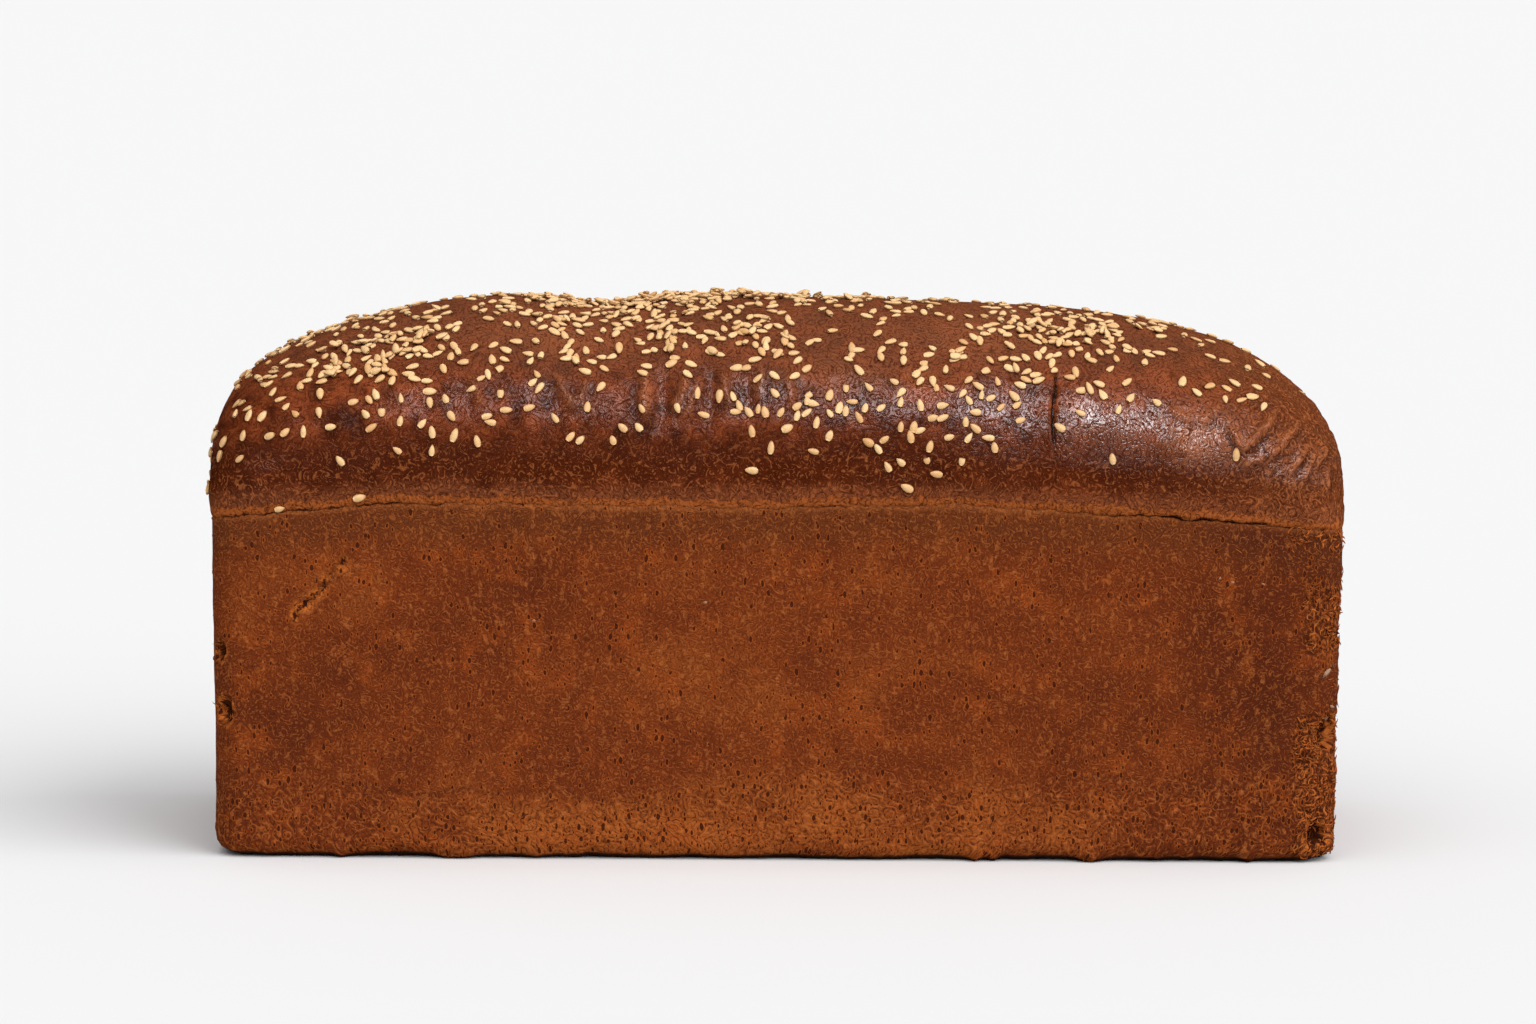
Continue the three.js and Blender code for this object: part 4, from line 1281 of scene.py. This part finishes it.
def pores(group, given):
    """Pore: closer to a cell's middle than that cell's own radius, which is its chance. Halo: a ring round it.

    Flake: a soft oval in a few of the cells that have no pore. The cells lie flat on the unrolled wall."""
    places = {0: given["Place"], 1: PORE_SQUEEZE}
    squeezed = worked(group, "ShaderNodeVectorMath", places, operation="MULTIPLY")
    scaled = {"Vector": squeezed, "Scale": 1.0 / given["Cell"]}
    cells = node(group, "ShaderNodeTexVoronoi", scaled, voronoi_dimensions="2D").outputs
    distance = Value(group, cells["Distance"])
    chances = node(group, "ShaderNodeSeparateColor", {"Color": Value(group, cells["Color"])}).outputs
    chance = Value(group, chances["Red"])
    there = chance < given["Share"]
    deep = Value(group, chances["Green"]) ** 2.0 * 0.22 + 0.1 + given["Wobble"] * 0.35 - distance
    oval = spread(distance - given["Wobble"], 0.5, 0.34)
    return spread(deep, -0.02, 0.04) * there, spread(deep, -0.2, 0.0) * there, oval * (chance > 1 - FLAKE_SHARE)


PORE_INPUTS = {"Cell": 4 * MM, "Share": 0.3, "Wobble": 0.0}
PORES = shader_group("crust pores", PORE_INPUTS, ["Pore", "Halo", "Flake"], pores)


# %% Ways to use the groups
def use_group(tree, group, place, **inputs):
    """A group placed in a material with its own values; gives back its outputs by name."""
    made = node(tree, "ShaderNodeGroup", node_tree=group)
    fill(made, {"Place": place, **inputs})
    return {socket.name: Value(tree, socket) for socket in made.outputs}


def object_place(tree):
    """Places on the piece in metres, the same from every side."""
    return worked(tree, "ShaderNodeTexCoord", output="Object")


def new_material(name, settings):
    """A material with one Principled shader; the settings are its numbers that are the same all over."""
    material = bpy.data.materials.new(name)
    material.use_nodes = True
    shader = material.node_tree.nodes["Principled BSDF"]
    fill(shader, settings)
    return material, material.node_tree, shader


# %% [markdown]
# ## Wall crust
#
# The wall browned against the tin, so it is matt and even: a red-brown ground that drifts lighter and darker,
# with fine curly strands in low contrast and small pores darkened by painted shade, each in an orange ring.
# The band along the floor is lighter and more porous. Where crust is missing, the crumb under it is orange-brown
# and full of deep pores. Painted shade also darkens the holes, the tear, the crease's crack and a line along the
# floor.

# %% Wall material
WALL_DARK = linear(72, 28, 11)
WALL_MIDDLE = linear(101, 43, 15)
WALL_LIGHT = linear(146, 76, 29)
WALL_RUST = linear(140, 64, 20)
WALL_FLECK = linear(160, 90, 42)
WALL_FURROW = linear(66, 26, 9)
WALL_HALO = linear(156, 76, 24)
PORE_SHADE = linear(44, 14, 6)
UNDER_CREASE = linear(84, 42, 18)
WALL_LIP = linear(138, 78, 38)
WALL_REDDISH = linear(66, 26, 14)
BARE_CRUMB = linear(110, 49, 15)
BARE_SHADOW = linear(44, 17, 6)
TORN_EDGE = linear(184, 100, 40)
BAND_LINE = linear(64, 25, 9)
CONTACT_SHADE = linear(34, 17, 10)


def wall_crust():
    """Ground by tone and rust, the bands, bare crumb, grain in three sizes and pores in rings.

    Painted shade darkens the pores, the holes, the tear and the crack; painted contact shade runs along the floor.
    """
    material, tree, shader = new_material("wall crust", {"Specular IOR Level": 0.03, "Roughness": 0.85})
    place = worked(tree, "ShaderNodeAttribute", output="Vector", attribute_name="sheet")
    coarse, bare, rust = [kept(tree, name) for name in ("coarse", "bare", "rust")]
    strands = use_group(tree, CURLY_GRAIN, place, Cell=1.0 * MM, Cover=0.6)
    grain = use_group(tree, CURLY_GRAIN, place, Cell=0.6 * MM, Cover=0.45)
    curls = use_group(tree, CURLY_GRAIN, place, Cell=1.5 * MM, Cover=0.6)
    share = coarse * 0.44 + bare * 0.6 + spread(rust, 0.35, 0.9, 0.1, 0.45)
    pore = use_group(tree, PORES, place, Cell=2.4 * MM, Share=share, Wobble=strands["Wobble"])
    closed, opened = 1.0 - coarse * 0.4, coarse * 1.25 + bare * 2.2
    furrow, fleck = [
        strands[mark] + grain[mark] * closed + curls[mark] * opened for mark in ("Furrow", "Fleck")
    ]
    ragged = strands["Wobble"] + grain["Wobble"]
    # Painted shade in the crease's crack.
    crack = spread(kept(tree, "crack_shade") + ragged, 0.4, 0.8, 0.0, 0.85)
    hole_shade = spread(kept(tree, "hole_shade") + ragged, 0.3, 0.8, 0.0, 0.9)
    crumb = blended(spread(strands["Wobble"], -0.13, 0.03), BARE_SHADOW, BARE_CRUMB)
    tone = kept(tree, "tone") + coarse * kept(tree, "middle") * 0.4 - kept(tree, "right_shade") * 0.8
    ground = blended(spread(tone, -1.1, 0.1), WALL_DARK, WALL_MIDDLE)
    colour = painted(tree, ground, [
        (spread(tone, -0.1, 1.2), 1, WALL_LIGHT),
        (spread(rust, 0.45, 1.0), 0.5, WALL_RUST),
        ("under_crease", 0.7, UNDER_CREASE),
        ("lip", 0.5, WALL_LIP),
        ("crease_shade", 0.85, WALL_REDDISH),
        ("band_line", 0.85, BAND_LINE),
        (spread(bare, 0.2, 0.8), 0.85, crumb),
        ("torn_edge", 0.95, TORN_EDGE),
        (pore["Flake"], 0.26, WALL_FLECK),
        (furrow, 0.38, WALL_FURROW),
        (fleck, 0.33, WALL_FLECK),
        (pore["Halo"], 0.5, WALL_HALO),
        # painted shade in the pores, then in the holes, the tear and the crease's crack
        (pore["Pore"], 0.9, PORE_SHADE),
        (hole_shade.or_more(crack), 1, PORE_SHADE),
        # painted contact shade along the floor
        (spread(kept(tree, "contact_shade"), 0.1, 0.9), 0.95, CONTACT_SHADE),
    ])
    bump = {"Height": fleck * 0.3 - pore["Pore"], "Strength": 0.7, "Distance": 0.4 * MM}
    fill(shader, {"Base Color": colour, "Normal": worked(tree, "ShaderNodeBump", bump)})
    return material


# %% [markdown]
# ## Glazed crown
#
# Egg wash dries to a thin gloss over a dark red-brown crust. The gloss is a coat over a matt base, strongest on
# the right shoulder, patchy elsewhere, and gone on the crest and near the crease, where the dough stayed bare.
# Fine curly wrinkles break the shine into short bright threads. Light flecks show low down and at the right end.

# %% Crown material
CROWN_DARK = linear(54, 21, 9)
CROWN_MIDDLE = linear(94, 41, 18)
CROWN_WARM = linear(126, 60, 30)
CROWN_DUSK = linear(60, 32, 24)
CROWN_DEEP = linear(60, 20, 5)
CROWN_CREST = linear(112, 66, 44)
CROWN_PALE = linear(148, 86, 54)
CROWN_FLECK = linear(154, 88, 48)
CROWN_PALE_LIT_RIDGE = linear(156, 90, 54)
STREAK_TURN = (0, math.radians(-50), 0)
STREAK_STRETCH = (3.5, 1, 1)
CROWN_HAZE = linear(112, 60, 35)
CROWN_LIP = linear(142, 74, 32)
CROWN_RIGHT = linear(108, 59, 33)
CROWN_CLEFT_SHADE = linear(34, 14, 7)


def crown_crust():
    """Red-brown by slow noise, a dark band low down, haze and lip under it, flecks; a coat over it by the glaze.

    Painted light and shade pick out the ridges and streaks, and painted shade darkens the crack and the fold.
    """
    settings = {"Specular IOR Level": 0.0, "Coat Roughness": 0.22, "Coat IOR": 1.5, "Roughness": 0.7}
    material, tree, shader = new_material("crown crust", settings)
    place = object_place(tree)
    mottle = kept(tree, "mottle")
    strands = use_group(tree, CURLY_GRAIN, place, Cell=1.3 * MM, Cover=0.45)
    grain = use_group(tree, CURLY_GRAIN, place, Cell=0.66 * MM, Cover=0.4)
    streak_way = {"Vector": place, "Rotation": STREAK_TURN, "Scale": STREAK_STRETCH}
    streak_place = worked(tree, "ShaderNodeMapping", None, vector_type="TEXTURE")
    fill(streak_place.socket.node, streak_way)
    streaks = use_group(tree, CURLY_GRAIN, streak_place, Cell=1.7 * MM, Cover=0.8)
    ragged, fleck, furrow = [strands[mark] + grain[mark] for mark in ("Wobble", "Fleck", "Furrow")]
    shown = fleck * kept(tree, "grainy")
    streak = (streaks["Fleck"] - streaks["Furrow"]) * kept(tree, "streaked")
    # Painted shade in the crease's crack and in the fold's cleft.
    crack = spread(kept(tree, "crack_shade") + ragged, 0.4, 0.8, 0.0, 0.85)
    line = spread(kept(tree, "fold") + ragged, 0.2, 0.8)
    ground = blended(spread(mottle, 0.1, 0.6), CROWN_DARK, CROWN_MIDDLE)
    colour = painted(tree, ground, [
        (spread(mottle, 0.5, 1.0), 1, CROWN_WARM),
        ("crest", 0.6, CROWN_CREST),
        ("pale", 1, CROWN_PALE),
        ("deep", 0.8, CROWN_DEEP),
        ("right_end", 0.6, CROWN_RIGHT),
        ("haze", 0.75, CROWN_HAZE),
        ("dusk", 0.5, CROWN_DUSK),
        (spread(kept(tree, "lip") + ragged, 0.25, 0.75), 0.85, CROWN_LIP),
        # painted light on the streaks' tops and painted shade in their troughs; painted shadow beside each ridge
        # and a painted highlight, over paler crust, on its top
        (spread(streak, 0.0, -1.0), 0.6, CROWN_DARK),
        (spread(streak, 0.0, 1.0), 0.55, CROWN_PALE_LIT_RIDGE),
        ("ridge_shadow", 0.85, CROWN_DARK),
        ("ridge_pale_and_lit", 0.75, CROWN_PALE_LIT_RIDGE),
        (furrow, 0.42, CROWN_DARK),
        (shown, 0.46, CROWN_FLECK),
        (crack.or_more(line), 1, CROWN_CLEFT_SHADE),
    ])
    upright = worked(tree, "ShaderNodeMapping", {"Vector": place, "Scale": (1.0, 0.4, 0.4)})
    wrinkles = noise_at(upright, 2.0 * MM, 2.0, 0.55, 0.6)
    folded = abs(wrinkles - 0.5) * -3.6 * kept(tree, "wrinkled")
    height = folded + (shown * 0.3 - furrow * 0.5) + streak * 0.9
    bump = worked(tree, "ShaderNodeBump", {"Height": height, "Strength": 0.46, "Distance": 0.3 * MM})
    coat = kept(tree, "glaze") * (1.0 - furrow * 0.6)
    fill(shader, {"Base Color": colour, "Normal": bump, "Coat Normal": bump, "Coat Weight": coat})
    return material


# %% [markdown]
# ## Sesame seeds
#
# Hulled sesame is ivory, and toasts to gold first at its tip and its rim, most where it touches hot crust.
# The rim's darkening is partly that toast and partly painted contact shade.
# Each seed keeps its own toast, so that neighbours differ as they do on a real loaf.

# %% Seed material
SEED_PALE = linear(212, 175, 126)
SEED_TOASTED = linear(184, 134, 80)
SEED_TIP = linear(176, 114, 64)
SEED_RIM_TOAST_AND_SHADE = linear(112, 66, 34)


def sesame():
    """Ivory to gold by the seed's own toast, darker towards the tip, and at the rim by toast and painted contact
    shade, with a faint grain.
    """
    material, tree, shader = new_material("sesame seed", {"Specular IOR Level": 0.2, "Roughness": 0.5})
    grain = noise_at(object_place(tree), 0.7 * MM, 0.0)
    colour = painted(tree, SEED_PALE, [
        ("toast", 1, SEED_TOASTED),
        (spread(kept(tree, "along"), 0.68, 1.0), 0.6, SEED_TIP),
        # the rim: partly toast, partly painted contact shade
        (spread(kept(tree, "edge"), 0.76, 1.0), 0.7, SEED_RIM_TOAST_AND_SHADE),
        (spread(grain, 0.5, 0.8), 0.35, SEED_TOASTED),
    ])
    fill(shader, {"Base Color": colour})
    return material


# %% [markdown]
# ## Strands
#
# Dry crumb is lighter than the crust round it: rust-brown where it lies flat, orange where it was torn. The
# palest flakes are grey, paper-thin crust.

# %% Strand material
STRAND_RUST = linear(100, 45, 17)
STRAND_ORANGE = linear(166, 90, 38)
FLAKE_GREY = linear(146, 116, 94)


def torn_crumb():
    """Rust to orange by the strand's own lightness, with a little grain; past 1 it turns flake grey."""
    material, tree, shader = new_material("torn crumb", {"Specular IOR Level": 0.05, "Roughness": 0.8})
    grain = noise_at(object_place(tree), 0.8 * MM, 0.0)
    colour = painted(tree, STRAND_RUST, [
        ("light", 1, STRAND_ORANGE),
        (spread(grain, 0.45, 0.75), 0.5, STRAND_RUST),
        (spread(kept(tree, "light"), 1.0, 2.0), 1, FLAKE_GREY),
    ])
    fill(shader, {"Base Color": colour})
    return material


# %% Dress the pieces
wall.data.materials.append(wall_crust())
strands.data.materials.append(torn_crumb())
crown.data.materials.append(crown_crust())
seed_material = sesame()
for seeds in seed_pieces:
    seeds.data.materials.append(seed_material)
loaf_pieces = (crown, wall, strands, *seed_pieces)
for piece in loaf_pieces:
    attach(piece, "root")
    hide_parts("loaf")
print("pieces that stand for the loaf:", [piece.name for piece in loaf_pieces])

# %% [markdown]
# ## Floor and light
#
# The photo is a plain product picture: white all round, a soft shadow to the left and one broad shine on the
# right shoulder of the crown. An even sky, white only to the camera, gives the first. A wide sun from the right
# gives the second, with a softer one from above. A bluish soft box that shows only in the gloss gives the
# third. A panel in front and a faint sun from behind lift the loaf alone, and are kept off the floor.

# %% Floor
FLOOR_REACH = 60.0
FLOOR_COLOUR = (0.822, 0.822, 0.827, 1.0)
bpy.ops.mesh.primitive_plane_add(size=2 * FLOOR_REACH, location=(0, 0, 0))
floor = bpy.context.object
floor.name = "floor"
floor_material, floor_tree, floor_shader = new_material("floor", {"Specular IOR Level": 0.0, "Roughness": 1.0})
floor_shader.inputs["Base Color"].default_value = FLOOR_COLOUR
floor.data.materials.append(floor_material)

# %% Sky
SKY_LIGHT = 0.34
SKY_SEEN = 0.94

world = bpy.data.worlds.new("studio")
bpy.context.scene.world = world
world.use_nodes = True
to_camera = worked(world.node_tree, "ShaderNodeLightPath", output="Is Camera Ray")
brightness = spread(to_camera, 0.0, 1.0, SKY_LIGHT, SKY_SEEN)
fill(world.node_tree.nodes["Background"], {"Color": (1.0, 1.0, 1.0, 1.0), "Strength": brightness})
world.cycles_visibility.glossy = False

# %% Lights
SUN_STRENGTH = 1.9
TOP_STRENGTH = 1.5
BACK_STRENGTH = 0.8
FRONT_POWER = 11.5
SHINE_POWER = 50.0
SHINE_COLOUR = (0.86, 0.94, 1.0)
MIDDLE = (0, 0, 0)
WIDE, WIDER = math.radians(60), math.radians(80)
NO_GLOSS = ["glossy"]
GLOSS_ONLY = ["diffuse"]
FRONT_PANEL = {"shape": "RECTANGLE", "size": 0.25, "size_y": 0.6}
SOFT_BOX = {"shape": "RECTANGLE", "size": 0.7, "size_y": 1.0, "color": SHINE_COLOUR}


def add_light(name, kind, place, target, energy, hidden=(), lit=(), **settings):
    """A light at a place, aimed at a target. It can be hidden from some rays and kept to some pieces."""
    data = bpy.data.lights.new(name, kind)
    data.energy = energy
    for label, value in settings.items():
        setattr(data, label, value)
    light = bpy.data.objects.new(name, data)
    bpy.context.scene.collection.objects.link(light)
    light.location = place
    turn_to(light, target)
    for ray in hidden:
        setattr(light, "visible_" + ray, False)
    if lit:
        flagged = bpy.data.collections.new("lit by the " + name)
        for piece in lit:
            flagged.objects.link(piece)
        light.light_linking.receiver_collection = flagged


add_light("window", "SUN", (2.0, -1.1, 1.7), MIDDLE, SUN_STRENGTH, angle=WIDE)
add_light("top-light", "SUN", (0, -0.84, 1.82), MIDDLE, TOP_STRENGTH, NO_GLOSS, angle=WIDER)
add_light("back-light", "SUN", (-0.5, 1.0, 0.6), MIDDLE, BACK_STRENGTH, NO_GLOSS, loaf_pieces, angle=WIDE)
front_place, front_aim = (0.21, -1.17, 1.13), (0.09, -0.05, 0.13)
add_light("front-light", "AREA", front_place, front_aim, FRONT_POWER, NO_GLOSS, loaf_pieces, **FRONT_PANEL)
box_place, box_aim = (0.06, -1.14, 1.26), (0.06, -0.05, 0.13)
add_light("soft-box", "AREA", box_place, box_aim, SHINE_POWER, GLOSS_ONLY, loaf_pieces, **SOFT_BOX)
bpy.context.scene.view_settings.view_transform = "Standard"
